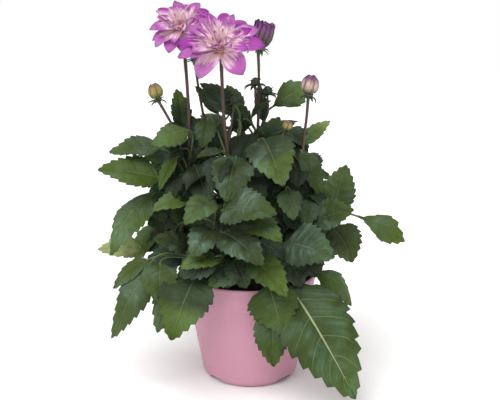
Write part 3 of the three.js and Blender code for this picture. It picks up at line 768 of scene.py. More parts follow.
@dataclass(frozen=True)
class BudFinish(Finish):
    """Closed buds: stripes from a base colour through a middle to a tip colour.

    The middle colour is reached at base_to and left from tip_from on, as shares of the length.
    """

    name: str = "bud"
    mottle_scale: float = 150.0
    mottle_amount: float = 0.3
    relief: float = 0.0003
    base: Colour = tint("55513A")
    middle: Colour = tint("D8BDB0")
    tip: Colour = tint("6E3872")
    line: Colour = tint("8E6A5C")
    edge_dark: Colour = tint("3A2A26")
    base_to: float = 0.5
    tip_from: float = 0.6
    tip_reach: float = 0.35

    def shade(self, bench: Bench) -> None:
        """Places the material's nodes.

        Args:
            bench: the bench in the material's tree.
        """
        along, side, tone = bench.painted(ALONG, ACROSS, TONE)
        streaks = bench.effect(self.effects.streaks, across=side, along=along, tone=tone, count=22.0)
        height = streaks * 0.22 + along
        colour = height.smooth(0.15, self.base_to).mix(self.base, self.middle)
        colour = height.smooth(self.tip_from, self.tip_from + self.tip_reach).mix(colour, self.tip)
        colour = (streaks * 0.4).mix(colour, self.line)
        # Darker towards each wrapped petal's side edges, where neighbouring petals overlap.
        colour = (abs(side).smooth(0.55, 1.0) * 0.75).mix(colour, self.edge_dark)
        self.surface(bench, self.mottled(bench, colour), 0.5, streaks)


@dataclass(frozen=True)
class FloretFinish(Finish):
    """The small unopened florets of a flower's eye: peach at the foot, purple at the tip."""

    name: str = "floret"
    mottle_scale: float = 300.0
    mottle_amount: float = 0.3
    grit_scale: float = 1500.0
    foot: Colour = tint("E0B08C")
    tip: Colour = tint("C58BC0")

    def shade(self, bench: Bench) -> None:
        """Places the material's nodes.

        Args:
            bench: the bench in the material's tree.
        """
        along, tone = bench.painted(ALONG, TONE)
        colour = (tone * 0.3 + along).smooth(0.5, 1.1).mix(self.foot, self.tip)
        self.surface(bench, self.mottled(bench, colour), 0.6, self.gritty(bench))


@dataclass(frozen=True)
class PlasticFinish(Finish):
    """The pot's moulded plastic: matt pink with faint flow marks, handling marks and dust.

    Dust lies everywhere, and more of it up to the height dusty_to, in metres.
    """

    name: str = "pot_plastic"
    mottle_scale: float = 25.0
    mottle_amount: float = 0.03
    grit_scale: float = 1600.0
    grit_cells: float = 0.1
    relief: float = 0.00008
    flow_scale: Triple = (9.0, 9.0, 30.0)
    marks_scale: float = 240.0
    dusty_to: float = 0.012
    pink: Colour = tint("C18A9E")
    worn: Colour = tint("C996A9")
    dirt: Colour = tint("7A5F5C")

    def shade(self, bench: Bench) -> None:
        """Places the material's nodes.

        Args:
            bench: the bench in the material's tree.
        """
        where = bench.place()
        height = bench.take("Z", "ShaderNodeSeparateXYZ", {"Vector": where})
        stretched = bench.take(0, "ShaderNodeMapping", {"Vector": where, "Scale": self.flow_scale})
        flow = bench.speckle(stretched, 1.0).smooth(0.35, 0.75)
        colour = (flow * 0.2).mix(self.pink, self.worn)
        marks = bench.speckle(where, self.marks_scale, 6.0)
        dust = marks.smooth(0.52, 0.72) * (height.smooth(self.dusty_to, 0.0) * 0.12 + 0.03)
        colour = self.mottled(bench, dust.mix(colour, self.dirt))
        self.surface(bench, colour, marks * 0.2 + 0.42, self.gritty(bench))


@dataclass(frozen=True)
class SoilFinish(Finish):
    """Dark peat soil, with lighter fibres and grains."""

    name: str = "soil"
    mottle_scale: float = 70.0
    grit_scale: float = 500.0
    grit_cells: float = 0.6
    relief: float = 0.0012
    lump_scale: float = 220.0
    grain_scale: float = 900.0
    dark: Colour = tint("1B1512")
    brown: Colour = tint("3A2A20")
    grain: Colour = tint("6B5645")

    def shade(self, bench: Bench) -> None:
        """Places the material's nodes.

        Args:
            bench: the bench in the material's tree.
        """
        where = bench.place()
        colour = bench.speckle(where, self.lump_scale, 6.0).smooth(0.4, 0.7).mix(self.dark, self.brown)
        grains = bench.speckle(where, self.grain_scale).smooth(0.66, 0.74)
        colour = self.mottled(bench, (grains * 0.7).mix(colour, self.grain))
        self.surface(bench, colour, 0.9, self.gritty(bench))


@dataclass(frozen=True)
class FloorFinish(Finish):
    """The studio's pale floor."""

    name: str = "pale_floor"
    mottle_scale: float = 2.0
    mottle_amount: float = 0.01
    grit_scale: float = 300.0
    grit_cells: float = 0.1
    relief: float = 0.0001
    pale: Colour = (0.95, 0.95, 0.95, 1.0)

    def shade(self, bench: Bench) -> None:
        """Places the material's nodes."""
        self.surface(bench, self.mottled(bench, self.pale), 0.9, self.gritty(bench))


class Light(Enum):
    """How much painted light a leaf shows, from the inner ones in painted shade to the palest, lit from
    behind.
    """

    INNER = -0.3
    DEEP = 0.0
    PLAIN = 0.25
    SOFT = 0.42
    LIT = 0.6
    BRIGHT = 0.8
    PALE = 1.0


INNER, DEEP, PLAIN, SOFT, LIT, BRIGHT, PALE = Light


class Skin(IntEnum):
    """The materials of a leafy stem, by number."""

    LEAF = 0
    STALK = 1
    BRACT = 2


@dataclass(frozen=True)
class Station:
    """A place on a leaf's midrib, with the directions of the blade there."""

    place: Vector
    tangent: Vector
    normal: Vector
    across: Vector


@dataclass(frozen=True)
class LeafForm:
    """What all leaves share. Shares are of a blade's length, of its width or of one tooth.

    crown is where the midrib is highest, fineness how many teeth stand for one of the leaf's own,
    quilt the height of the pads between the side veins, groove the depth of the midrib's groove,
    rising and last the places of points up to a tooth's point and on to the tip, and rib_at those
    of the rib under the blade.
    """

    thick: float = 0.5
    stalk_radius: float = 1.3
    crown: float = 0.45
    fineness: float = 1.8
    tooth_start: float = 0.55
    tooth_lean: float = 0.4
    tooth_shift: float = 0.13
    width_swing: tuple[float, float] = (0.94, 1.04)
    notch_swing: tuple[float, float] = (0.6, 1.35)
    notch_width: float = 0.89
    tip_power: float = 1.4
    least_half: float = 0.08
    bow: float = 0.06
    quilt: float = 0.006
    unevenness: float = 0.035
    groove: float = 0.35
    wave: float = 0.025
    wave_turns: tuple[float, float] = (1.2, 2.2)
    twist: float = 0.16
    light_swing: float = 0.08
    vein_slant: float = 1.1
    vein_share: float = 0.55
    columns: tuple[float, ...] = (0.0, 0.05, 0.14, 0.28, 0.44, 0.6, 0.76, 0.9, 1.0)
    rising: tuple[float, ...] = (0.35, 0.7, 1.0)
    last: tuple[float, ...] = (0.2, 0.4, 0.6, 0.8, 0.93, 1.0)
    stalk_steps: int = 12
    rib_at: tuple[float, ...] = (0.08, 0.18, 0.3, 0.45, 0.6, 0.75, 0.88)

    @staticmethod
    def half(share: float, taper: float) -> float:
        """Returns half the width at a share of the length, as a share of the widest half."""
        return sin(pi * share**taper) ** (0.85 if taper < 1 else 1.1)


FULL_LEAF = LeafForm()
SMALL_LEAF = LeafForm(
    fineness=1.2, columns=(0.0, 0.08, 0.35, 0.7, 1.0), rising=(0.5, 1.0), last=(0.4, 0.8, 1.0)
)


@dataclass(frozen=True)
class Leaf:
    """One leaf. Its stalk leaves the stem at root_height, and its blade goes from foot to tip.

    The upper side looks towards face. The midrib arches that way, the halves fold up by fold
    degrees, and teeth sets how coarsely each side is toothed. light says how much painted light or
    shade the blade's colour carries and ribs how pale its veins are, tip_light how much more painted
    light its outer part carries, and the last field how much painted bluish sheen, a painted
    reflection of the sky, it has. A taper above 0.7 draws the foot out and makes the blade widest
    further out.
    """

    root_height: float
    foot: Triple
    tip: Triple
    face: Triple
    width: float
    arch: float
    light: Light = PLAIN
    fold: float = 8.0
    teeth: int = 3
    ribs: float = 0.18
    taper: float = 0.7
    tip_light: float = 0.0
    frost: float = 0.0

    @property
    def length(self) -> float:
        """The straight length of the blade."""
        return (Vector(self.tip) - Vector(self.foot)).length

    def station(self, share: float, form: LeafForm) -> Station:
        """Returns the place and directions at a share of the midrib.

        Args:
            share: the share of its length.
            form: what all leaves share.

        Returns:
            The station.
        """
        start, end = Vector(self.foot), Vector(self.tip)
        along = (end - start).normalized()
        across = along.cross(Vector(self.face).normalized()).normalized()
        upward = across.cross(along)
        crown = start.lerp(end, form.crown) + upward * (2 * self.arch)
        place = start * (1 - share) ** 2 + crown * (2 * share * (1 - share)) + end * share**2
        tangent = ((crown - start) * (1 - share) + (end - crown) * share).normalized()
        return Station(place, tangent, across.cross(tangent).normalized(), across)

    def margin(self, form: LeafForm, draw: Random) -> list[Triple]:
        """Returns one toothed side of the margin, from foot to tip.

        Args:
            form: what all leaves share.
            draw: the source of small differences between teeth.

        Returns:
            Rows of (share of the length, half width, how far the edge leans forward).
        """
        count = ceil(self.teeth * form.fineness)
        pitch = 1 / (count + 1 - form.tooth_start)
        lean = form.tooth_lean * self.length / (count + 1)
        widest = self.width / 2 * draw.uniform(*form.width_swing)
        rows = [(0.0, form.stalk_radius, 0.0)]
        notch_width = 1.0
        for tooth in range(count):
            start, shift = tooth * pitch, draw.uniform(-form.tooth_shift, form.tooth_shift)
            point = start + (form.tooth_start + shift) * pitch
            for share in form.rising:
                at = blend(start, point, share)
                rise = 1.0 if tooth == 0 else blend(notch_width, 1.0, share**0.8)
                half = max(widest * form.half(at, self.taper) * rise, form.stalk_radius)
                rows.append((at, half, lean * share**1.5))
            notch = start + pitch
            notch_width = 1 - (1 - form.notch_width) * draw.uniform(*form.notch_swing)
            rows.append((notch, widest * form.half(notch, self.taper) * notch_width, 0.0))
        start, half, _ = rows[-1]
        for share in form.last:
            narrowed = half * (1 + 0.5 * share) * (1 - share**form.tip_power)
            rows.append((blend(start, 1.0, share), max(narrowed, form.least_half), 0.0))
        return rows

    def blade(self, draft: Draft, form: LeafForm, draw: Random) -> None:
        """Adds the blade, quilted between its side veins.

        Args:
            draft: the draft to add it to.
            form: what all leaves share.
            draw: the source of small differences between leaves.
        """
        rise, reach = sin(radians(self.fold)), cos(radians(self.fold))
        tone, turns = draw.random(), draw.uniform(*form.wave_turns)
        twist = draw.uniform(-form.twist, form.twist)
        starts = {-1: draw.random(), 1: draw.random()}
        # glow is the painted light or shade of the whole blade.
        glow = min(self.light.value + draw.uniform(-form.light_swing, form.light_swing), 1.0)
        edges = {side: self.margin(form, draw) for side in (-1, 1)}
        halves = {side: [row[:2] for row in edge] for side, edge in edges.items()}
        leans = {side: [(at, lean) for at, _, lean in edge] for side, edge in edges.items()}
        veins = form.vein_share * ceil(self.teeth * form.fineness) + 1
        columns = [-share for share in form.columns[:0:-1]] + list(form.columns)
        rows = []
        for share in sorted({round(at, 3) for edge in edges.values() for at, _, _ in edge}):
            spot = self.station(share, form)
            turn = Quaternion(spot.tangent, twist * share)
            across, normal = turn @ spot.across, turn @ spot.normal
            widths = {side: profiled(halves[side], share) for side in edges}
            forward = {side: profiled(leans[side], share) for side in edges}
            # More painted light towards the outer part of the blade, as tip_light says.
            shown = glow + self.tip_light * eased((share - 0.45) / 0.25)
            row = []
            for column in columns:
                out, side = abs(column), 1 if column > 0 else -1
                half = widths[side]
                vein = share * veins + form.vein_slant * (1 - out**1.2)
                window = sin(pi * min(out * 0.9 + 0.08, 1.0))
                lift = out * half * rise + form.bow * half * sin(pi * out)
                lift -= form.quilt * min(self.width, 40.0) * cos(2 * pi * vein) * window
                dents = noise.noise(Vector((share * 5 + 40 * tone, column * 2.2, 70 * tone)))
                lift += form.unevenness * self.width * dents * min(3 * out, 1.0)
                waving = sin(2 * pi * (share * turns + starts[side]))
                lift += form.wave * self.width * out**2 * waving * sin(pi * share)
                if out < 0.02:
                    lift -= form.groove * (1 - share)
                place = spot.place + across * (column * half * reach)
                place += spot.tangent * (forward[side] * out**3) + normal * lift
                paint = {ALONG: share, ACROSS: column, VEIN: vein, TONE: tone, GLOW: shown}
                paint |= {RIB: self.ribs, FROST: self.frost}
                row.append((place, normal, paint))
            rows.append(row)
        draft.blade(rows, form.thick, Skin.LEAF)

    def stalk(self, draft: Draft, form: LeafForm, root: Vector) -> None:
        """Adds the stalk from a place on the stem, running on under the blade as its midrib.

        Args:
            draft: the draft to add it to.
            form: what all leaves share.
            root: where it leaves the stem.
        """
        foot = self.station(0.0, form)
        reach = (root - foot.place).length
        first = root.lerp(foot.place, 0.35) + UP * (0.1 * reach)
        last = foot.place - foot.tangent * min(0.3 * reach, 0.5 * self.length)
        line, radii = [], []
        for i in range(form.stalk_steps + 1):
            share = i / form.stalk_steps
            rest = 1 - share
            place = root * rest**3 + first * (3 * share * rest**2)
            line.append(place + last * (3 * share**2 * rest) + foot.place * share**3)
            radii.append(form.stalk_radius * (1.25 - 0.35 * eased(share * 2)))
        for share in form.rib_at:
            spot = self.station(share, form)
            radius = blend(form.stalk_radius * 0.8, 0.25, share)
            line.append(spot.place - spot.normal * (radius * 0.7 + form.groove))
            radii.append(radius)
        bare = form.stalk_steps / (len(line) - 1)
        draft.tube(
            line, radii, 8, Skin.STALK,
            lambda share: {ALONG: 0.5 * (1 - eased(share / bare)), TONE: 0.5}
        )


def around(axis: Vector, turn: float) -> Vector:
    """Returns the direction across a flower's axis at a turn round it.

    Args:
        axis: the direction of the axis.
        turn: the turn in radians, from the right as seen from the front and on over the top.

    Returns:
        The direction.
    """
    side = Vector((0.0, 1.0, 0.0)).cross(axis).normalized()
    if side.x < 0:
        side.negate()
    front = axis.cross(side).normalized()
    if front.z < 0:
        front.negate()
    return side * cos(turn) + front * sin(turn)


@dataclass(frozen=True)
class PetalForm:
    """A kind of petal or bract: its outline and how its surface curls.

    cup is how far the sides turn up in degrees, ridge the height of the lengthwise folds as a
    share of the width, and curl how far the end curls back in degrees.
    """

    outline: tuple[tuple[float, float], ...]
    cup: float = 7.0
    ridge: float = 0.012
    curl: float = 0.0
    wave: float = 0.02
    thick: float = 0.45
    least_half: float = 0.06
    rows: int = 16
    columns: int = 12


@dataclass(frozen=True)
class Petal:
    """A petal or bract that grows from near an axis and bends back towards its end.

    azimuth is its turn round the axis, elevation how far it stands up from the plane across the
    axis, start how far from the axis its root lies, bend how far it bends back over its length
    and roll how far it is turned about its own length. All angles are in degrees. ring is 0 for
    the outermost petals and 1 for the innermost, tone varies the colour, and sway is how far the
    tip swings sideways, as a share of the length.
    """

    form: PetalForm
    azimuth: float
    elevation: float
    start: float
    length: float
    width: float
    bend: float
    roll: float = 0.0
    ring: float = 0.0
    tone: float = 0.5
    sway: float = 0.0

    def add(self, draft: Draft, place: Vector, axis: Vector, slot: int) -> None:
        """Adds the petal.

        Args:
            draft: the draft to add it to.
            place: the point on the axis.
            axis: the direction of the axis.
            slot: the number of the material.
        """
        form = self.form
        out = around(axis, radians(self.azimuth))
        across = axis.cross(out).normalized()
        spot = place + out * self.start
        step = self.length / form.rows
        rows = []
        for i in range(form.rows + 1):
            share = i / form.rows
            angle = self.elevation + self.bend * (0.32 - 0.97 * share) - form.curl * share**4
            ahead, upward = cos(radians(angle)), sin(radians(angle))
            if i:
                spot = spot + out * (step * ahead) + axis * (step * upward)
            tangent = out * ahead + axis * upward
            crosswise = Quaternion(tangent, radians(self.roll)) @ across
            normal = tangent.cross(crosswise).normalized()
            half = max(profiled(form.outline, share) * self.width / 2, form.least_half)
            row = []
            for k in range(form.columns + 1):
                column = 2 * k / form.columns - 1
                lean = radians(form.cup) * abs(column)
                folds = cos(3 * pi * column) * sin(pi * share)
                waving = sin(2 * pi * (1.5 * share + self.tone + 0.25 * column))
                lift = half * sin(lean) * abs(column) + form.ridge * self.width * folds
                lift += form.wave * self.width * waving * column**2 * share
                aside = column * half * cos(lean) + self.sway * self.length * share**2
                point = spot + crosswise * aside + normal * lift
                paint = {ALONG: share, ACROSS: column}
                paint |= {VEIN: self.ring, TONE: self.tone}
                row.append((point, normal, paint))
            rows.append(row)
        draft.blade(rows, form.thick, slot)


BRACT = PetalForm(
    outline=((0.0, 0.6), (0.25, 0.95), (0.5, 0.9), (0.8, 0.5), (1.0, 0.0)),
    cup=24.0, curl=25.0, thick=0.6, rows=8, columns=4
)


@dataclass(frozen=True)
class Bracts:
    """Narrow dark bracts round the base of a flower or bud, each spread and curled its own way."""

    count: int
    length: float
    elevation: float
    turn: float
    spread: float = 16.0
    slimness: float = 0.34
    start: float = 1.5

    def add(self, draft: Draft, place: Vector, axis: Vector, slot: int) -> None:
        """Adds the bracts round a point on an axis, in the numbered material.

        Args:
            draft: the draft to add it to.
            place: the point on the axis.
            axis: the direction of the axis.
            slot: the number of the material.
        """
        draw = Random(round(place.x * 10 + place.z))
        for i in range(self.count):
            length = self.length * draw.uniform(0.8, 1.15)
            azimuth = self.turn + 360 * i / self.count + draw.uniform(-14, 14)
            elevation = self.elevation + draw.uniform(-self.spread, self.spread)
            bend, roll, sway = draw.uniform(10, 70), draw.uniform(-20, 20), draw.uniform(-0.2, 0.2)
            width = length * self.slimness
            sizes = (azimuth, elevation, self.start, length, width, bend, roll)
            Petal(BRACT, *sizes, tone=i / self.count, sway=sway).add(draft, place, axis, slot)


@dataclass(frozen=True)
class Cup:
    """The green cup under a flower or bud: where that stands, its axis and the cup's size."""

    place: Triple
    axis: Triple
    radius: float
    depth: float
    bracts: int = 8
    bract_elevation: float = -5.0

    def add(self, draft: Draft, neck: float) -> None:
        """Adds the cup and its bracts on a stalk of the given radius.

        Args:
            draft: the draft to add it to.
            neck: the radius of the stalk.
        """
        place, axis = Vector(self.place), Vector(self.axis).normalized()
        outline = (
            (0.0, -self.depth),
            (neck, -self.depth),
            (neck * 1.3, -0.86 * self.depth),
            (self.radius * 0.72, -0.62 * self.depth),
            (self.radius * 0.92, -0.36 * self.depth),
            (self.radius, -0.12 * self.depth),
            (self.radius * 0.98, -0.3),
            (0.0, -0.3),
        )
        dull = {ALONG: 0.35}
        draft.turned(outline, 20, Skin.STALK, place, axis, paint=lambda share: dull)
        base = place - axis * (0.55 * self.depth)
        bracts = Bracts(self.bracts, self.radius + 5.5, self.bract_elevation, 20, spread=26)
        bracts.add(draft, base, axis, Skin.BRACT)


@dataclass(frozen=True)
class FlowerStalk:
    """A stalk that leaves a stem and ends in the cup that holds a flower or bud."""

    path: tuple[Triple, ...]
    cup: Cup
    radius: float = 2.1

    def add(self, draft: Draft) -> None:
        """Adds the stalk and its cup.

        Args:
            draft: the draft to add it to.
        """
        neck = Vector(self.cup.place) - Vector(self.cup.axis).normalized() * (0.9 * self.cup.depth)
        line = curved([*map(Vector, self.path), neck], 8)
        last = len(line) - 1
        radii = [self.radius * (1.05 - 0.15 * sin(pi * i / last)) for i in range(last + 1)]
        draft.tube(line, radii, 12, Skin.STALK, lambda share: {ALONG: 1.0 - 0.15 * share}, ribs=0.03)
        self.cup.add(draft, self.radius)


@dataclass(frozen=True)
class GreenBud:
    """A small unopened green bud on its own thin stalk."""

    path: tuple[Triple, ...]
    place: Triple
    radius: float
    length: float
    stalk_radius: float = 1.2

    def add(self, draft: Draft) -> None:
        """Adds the stalk, the bud and its bracts.

        Args:
            draft: the draft to add it to.
        """
        neck = Vector(self.place) + UP
        line = curved([*map(Vector, self.path), neck], 6)
        radii = [self.stalk_radius] * len(line)
        draft.tube(line, radii, 8, Skin.STALK, lambda share: {ALONG: 0.6})
        draft.turned(
            bud_profile(self.radius, self.length), 18, Skin.BRACT, Vector(self.place), UP,
            swell=lambda angle, share: 1 + 0.07 * cos(6 * angle + 2 * share),
            paint=lambda share: {ALONG: 0.2 * share, TONE: 0.4}
        )
        for count, length, elevation in ((8, 2.5, -5), (6, 1.9, 50)):
            bracts = Bracts(count, self.radius * length, elevation, 30 + elevation, spread=20, slimness=0.4)
            bracts.add(draft, neck + UP * (0.02 * elevation), UP, Skin.BRACT)


def bud_profile(radius: float, length: float) -> Outline:
    """Returns the rounded outline of a bud as (radius, height) points, from its foot to its tip.

    Args:
        radius: the radius where the bud is widest.
        length: its length.

    Returns:
        The points of the outline.
    """
    corners = ((0.0, 0.0), (0.62, 0.04), (1.0, 0.36), (0.86, 0.72), (0.34, 0.97), (0.0, 1.0))
    line = curved([Vector((wide * radius, 0.0, high * length)) for wide, high in corners], 5)
    outline = [(max(place.x, 0.0), place.z) for place in line]
    return [(0.0, 0.0), *outline[1:-1], (0.0, length)]


GOLDEN_ANGLE = 137.5
SILHOUETTE = ((110, 60), (150, 92), (200, 96), (250, 86), (300, 56), (340, 36), (420, 12))


@dataclass(frozen=True)
class Thicket:
    """The smaller leaves that fill the inside of the plant, round a stem by the golden angle."""

    count: int = 18
    nearest: float = 15.0
    lowest: float = 127.0
    arch: float = 0.16
    ribs: float = 0.15

    def leaves(self, line: Sequence[Vector], draw: Random) -> list[Leaf]:
        """Returns the leaves up a stem.

        Args:
            line: the points of the stem.
            draw: the source of differences between leaves.

        Returns:
            The leaves, each held inside the plant's silhouette.
        """
        leaves = []
        for number in range(self.count):
            height = blend(0.18, 1.0, (number + 0.5) / self.count)
            root = line[round(height * (len(line) - 1))]
            out = polar(1.0, radians(GOLDEN_ANGLE * number + draw.uniform(-25, 25)))
            foot = root + out * (self.nearest + draw.uniform(0, 14)) + UP * draw.uniform(4, 18)
            tip = foot + out * draw.uniform(14, 34) - UP * draw.uniform(10, 34)
            foot.z, tip.z = max(foot.z, self.lowest + 8), max(tip.z, self.lowest)
            room = max(profiled(SILHOUETTE, tip.z), root.xy.length + self.nearest)
            share = min(room / tip.xy.length, 1.0) if tip.xy.length > root.xy.length else 1.0
            foot, tip = root.lerp(foot, share), root.lerp(tip, share**2)
            length = (tip - foot).length
            face = out * 0.7 + UP * 0.6
            # Most inner leaves carry painted shade; every fourth is left deep.
            light = DEEP if number % 4 == 1 else INNER
            width = length * draw.uniform(0.68, 0.85)
            sizes = (tuple(foot), tuple(tip), tuple(face), width, self.arch * length)
            leaves.append(Leaf(root.z, *sizes, light, ribs=self.ribs))
        return leaves


@dataclass(frozen=True)
class LeafyStem:
    """A stem with the leaves, flower stalks and green buds that grew with it as one piece."""

    name: str
    through: tuple[Triple, ...]
    leaves: tuple[Leaf, ...]
    stalks: tuple[FlowerStalk, ...] = ()
    green_buds: tuple[GreenBud, ...] = ()
    thicket: Thicket = Thicket()
    radius: float = 3.0
    sunk_to: float = 86.5
    maroon_from: float = 190.0
    maroon_to: float = 265.0
    node_reach: float = 3.5
    node_swell: float = 0.14

    def redness(self, height: float) -> float:
        """Returns how maroon the stem is at a height."""
        return eased((height - self.maroon_from) / (self.maroon_to - self.maroon_from))

    def build(self, materials: Sequence[Material]) -> Piece:
        """Builds the whole leafy stem as one piece.

        Args:
            materials: the finishes of leaves, stalks and bracts.

        Returns:
            The piece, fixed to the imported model.
        """
        draft = Draft()
        draw = Random(self.name)
        line = curved([Vector(place) for place in self.through], 14)
        foot = line[0].copy()
        foot.z = self.sunk_to
        whole = [foot, *line]
        nodes = [leaf.root_height for leaf in self.leaves]
        radii = []
        for place in whole:
            swelling = max(exp(-(((place.z - node) / self.node_reach) ** 2)) for node in nodes)
            radii.append(self.radius * (0.97 + self.node_swell * swelling))
        low, high = whole[0].z, whole[-1].z
        draft.tube(
            whole, radii, 14, Skin.STALK,
            lambda share: {ALONG: self.redness(blend(low, high, share))},
            ribs=0.025
        )
        inner = self.thicket.leaves(line, draw)
        for form, leaves in ((FULL_LEAF, self.leaves), (SMALL_LEAF, inner)):
            for leaf in leaves:
                root = min(line, key=lambda place: abs(place.z - leaf.root_height))
                leaf.stalk(draft, form, root)
                leaf.blade(draft, form, draw)
        for part in (*self.stalks, *self.green_buds):
            part.add(draft)
        return seated(draft.made(self.name + "_foliage", materials), "foliage", self.name)


class Draw:
    """A repeatable source of numbers between zero and one, the one that shaped the solid blooms."""

    FACTOR = 1664525
    STEP = 1013904223
    SPAN = 4294967296

    def __init__(self, seed: int) -> None:
        """Starts from a seed."""
        self.state = seed

    def __call__(self) -> float:
        """Returns the next number."""
        self.state = (self.state * self.FACTOR + self.STEP) % self.SPAN
        return self.state / self.SPAN


LONG_OUTLINE = (
    (0.0, 0.14), (0.1, 0.4), (0.2, 0.64), (0.32, 0.85), (0.5, 1.0), (0.62, 1.0),
    (0.73, 0.9), (0.83, 0.71), (0.91, 0.46), (0.97, 0.19), (1.0, 0.0)
)
SHORT_OUTLINE = (
    (0.0, 0.2), (0.2, 0.55), (0.4, 0.86), (0.58, 1.0), (0.71, 0.88), (0.83, 0.6), (0.93, 0.28), (1.0, 0.0)
)


@dataclass(frozen=True)
class Ring:
    """A ring of petals of an open flower. Angles are in degrees."""

    form: PetalForm
    elevation: float
    length: float
    width: float
    bend: float
    start: float


RINGS = (
    Ring(PetalForm(LONG_OUTLINE, cup=14.0, curl=14.0), 16, 43, 25, 38, 4.5),
    Ring(PetalForm(SHORT_OUTLINE, cup=20.0, curl=12.0), 36, 37, 21, 34, 4.2),
    Ring(PetalForm(SHORT_OUTLINE, cup=30.0, curl=8.0), 55, 29, 15, 26, 4.0),
    Ring(PetalForm(SHORT_OUTLINE, cup=38.0), 74, 18, 9, -20, 4.6),
)
INNER_PETALS = Ring(PetalForm(SHORT_OUTLINE, cup=34.0, curl=10.0), 60, 25, 11, 18, 4.2)


@dataclass(frozen=True)
class Bloom:
    """An open flower and the small eye of unopened florets in it.

    azimuths holds the turns of the petals of each ring, and behind those of the petals behind the
    outermost ring. Petals whose turn has a sine of upper_from or more are narrower, by upper_width.
    """

    name: str
    place: Triple
    axis: Triple
    scale: float
    seed: int
    azimuths: tuple[tuple[float, ...], ...]
    behind: tuple[float, ...]
    heart_radius: float = 6.4
    heart_height: float = 5.0
    first_ring: float = 1.4
    ring_step: float = 1.7
    roll: float = 13.0
    eye_radius: float = 4.6
    eye_seat: float = 5.3
    eye_top: float = 9.2
    florets: int = 30
    floret_reach: float = 3.9
    floret_seat: float = 7.4
    upper_width: float = 0.7
    upper_from: float = -0.3
    behind_drop: float = 9.0
    behind_seat: float = 0.9
    inner_petals: int = 9
    inner_seat: float = 5.5
    inner_ring: float = 0.9

    @property
    def cup(self) -> Cup:
        """The green cup that the flower stands on."""
        return Cup(self.place, self.axis, radius=6.5, depth=9.0, bracts=6, bract_elevation=-35.0)

    def build(self, skin: Material, floret: Material) -> None:
        """Builds the flower and its eye from the finishes of petals and florets.

        Args:
            skin: the finish of the petals.
            floret: the finish of the florets.
        """
        place, axis = Vector(self.place), Vector(self.axis).normalized()
        draw, extra = Draw(self.seed), Random(self.name)
        draft = Draft()
        heart = [(0.0, 0.0), (self.heart_radius, 0.0), (self.heart_radius, self.heart_height)]
        draft.turned([*heart, (0.0, self.heart_height)], 24, 0, place, axis, paint=self.heart_paint)
        for level, (ring, turns) in enumerate(zip(RINGS, self.azimuths)):
            root = place + axis * (self.first_ring + self.ring_step * level)
            for number, azimuth in enumerate(turns):
                elevation = ring.elevation + 8 * (draw() - 0.5)
                length = ring.length * self.scale * (0.95 + 0.1 * draw())
                upper = sin(radians(azimuth)) >= self.upper_from
                width = ring.width * self.scale * (self.upper_width if upper else 1.0)
                bend, roll = ring.bend + extra.uniform(-8, 8), self.roll + extra.uniform(-9, 9)
                sizes = (azimuth, elevation, ring.start, length, width, bend, roll)
                tone, sway = (number * 0.37 + level * 0.21) % 1.0, extra.uniform(-0.07, 0.07)
                petal = Petal(ring.form, *sizes, level / (len(RINGS) - 1), tone, sway)
                petal.add(draft, root, axis, 0)
        ring = RINGS[0]
        for azimuth in self.behind:
            length = ring.length * self.scale * extra.uniform(0.9, 1.0)
            width = self.upper_width * ring.width * self.scale
            sizes = (azimuth, ring.elevation - self.behind_drop, ring.start, length, width, ring.bend)
            tone, sway = extra.random(), extra.uniform(-0.1, 0.1)
            petal = Petal(ring.form, *sizes, self.roll, tone=tone, sway=sway)
            petal.add(draft, place + axis * self.behind_seat, axis, 0)
        ring = INNER_PETALS
        for number in range(self.inner_petals):
            azimuth = GOLDEN_ANGLE * number + extra.uniform(-14, 14)
            elevation = ring.elevation + extra.uniform(-12, 10)
            length = ring.length * self.scale * extra.uniform(0.85, 1.15)
            bend, roll = ring.bend + extra.uniform(-20, 20), self.roll + extra.uniform(-20, 20)
            sizes = (azimuth, elevation, ring.start, length, ring.width * self.scale, bend, roll)
            tone, sway = extra.random(), extra.uniform(-0.15, 0.15)
            petal = Petal(ring.form, *sizes, self.inner_ring, tone, sway)
            petal.add(draft, place + axis * self.inner_seat, axis, 0)
        seated(draft.made(self.name + "_petals", [skin]), "petals", self.name)
        self.eye(place, axis, floret)

    @staticmethod
    def heart_paint(share: float) -> Paint:
        """Paints the small body under the petals like the throat of an outer petal."""
        return {ALONG: 0.05, ACROSS: share}

    def eye(self, place: Vector, axis: Vector, floret: Material) -> None:
        """Builds the eye: unopened florets that lean together on a small disc.

        Args:
            place: the point on the axis.
            axis: the direction of the axis.
            floret: the finish of the florets.
        """
        draft = Draft()
        seat, shoulder = self.eye_seat, self.eye_top - 1.2
        disc = [(0.0, seat), (self.eye_radius, seat), (self.eye_radius, shoulder), (0.0, self.eye_top)]
        draft.turned(disc, 24, 0, place, axis)
        draw = Draw(self.seed + 100)
        golden = pi * (3 - sqrt(5))
        for number in range(self.florets):
            share = (number + 0.5) / self.florets
            reach = self.floret_reach * sqrt(share)
            out = around(axis, number * golden)
            height = 3.2 + 3.0 * share + 1.0 * draw()
            radius = 0.55 + 0.35 * share
            outline = [(0.0, 0.0), (radius * 0.7, 0.1), (radius, 0.45 * height)]
            outline += [(radius * 0.85, 0.75 * height), (radius * 0.3, 0.97 * height), (0.0, height)]
            tone = draw()
            lean = (axis + out * (0.16 - 0.2 * share)).normalized()
            draft.turned(
                outline, 7, 0, place + axis * self.floret_seat + out * reach, lean,
                paint=lambda share, tone=tone: {ALONG: share, TONE: tone}
            )
        seated(draft.made(self.name + "_florets", [floret]), "eye", self.name + "_eye")


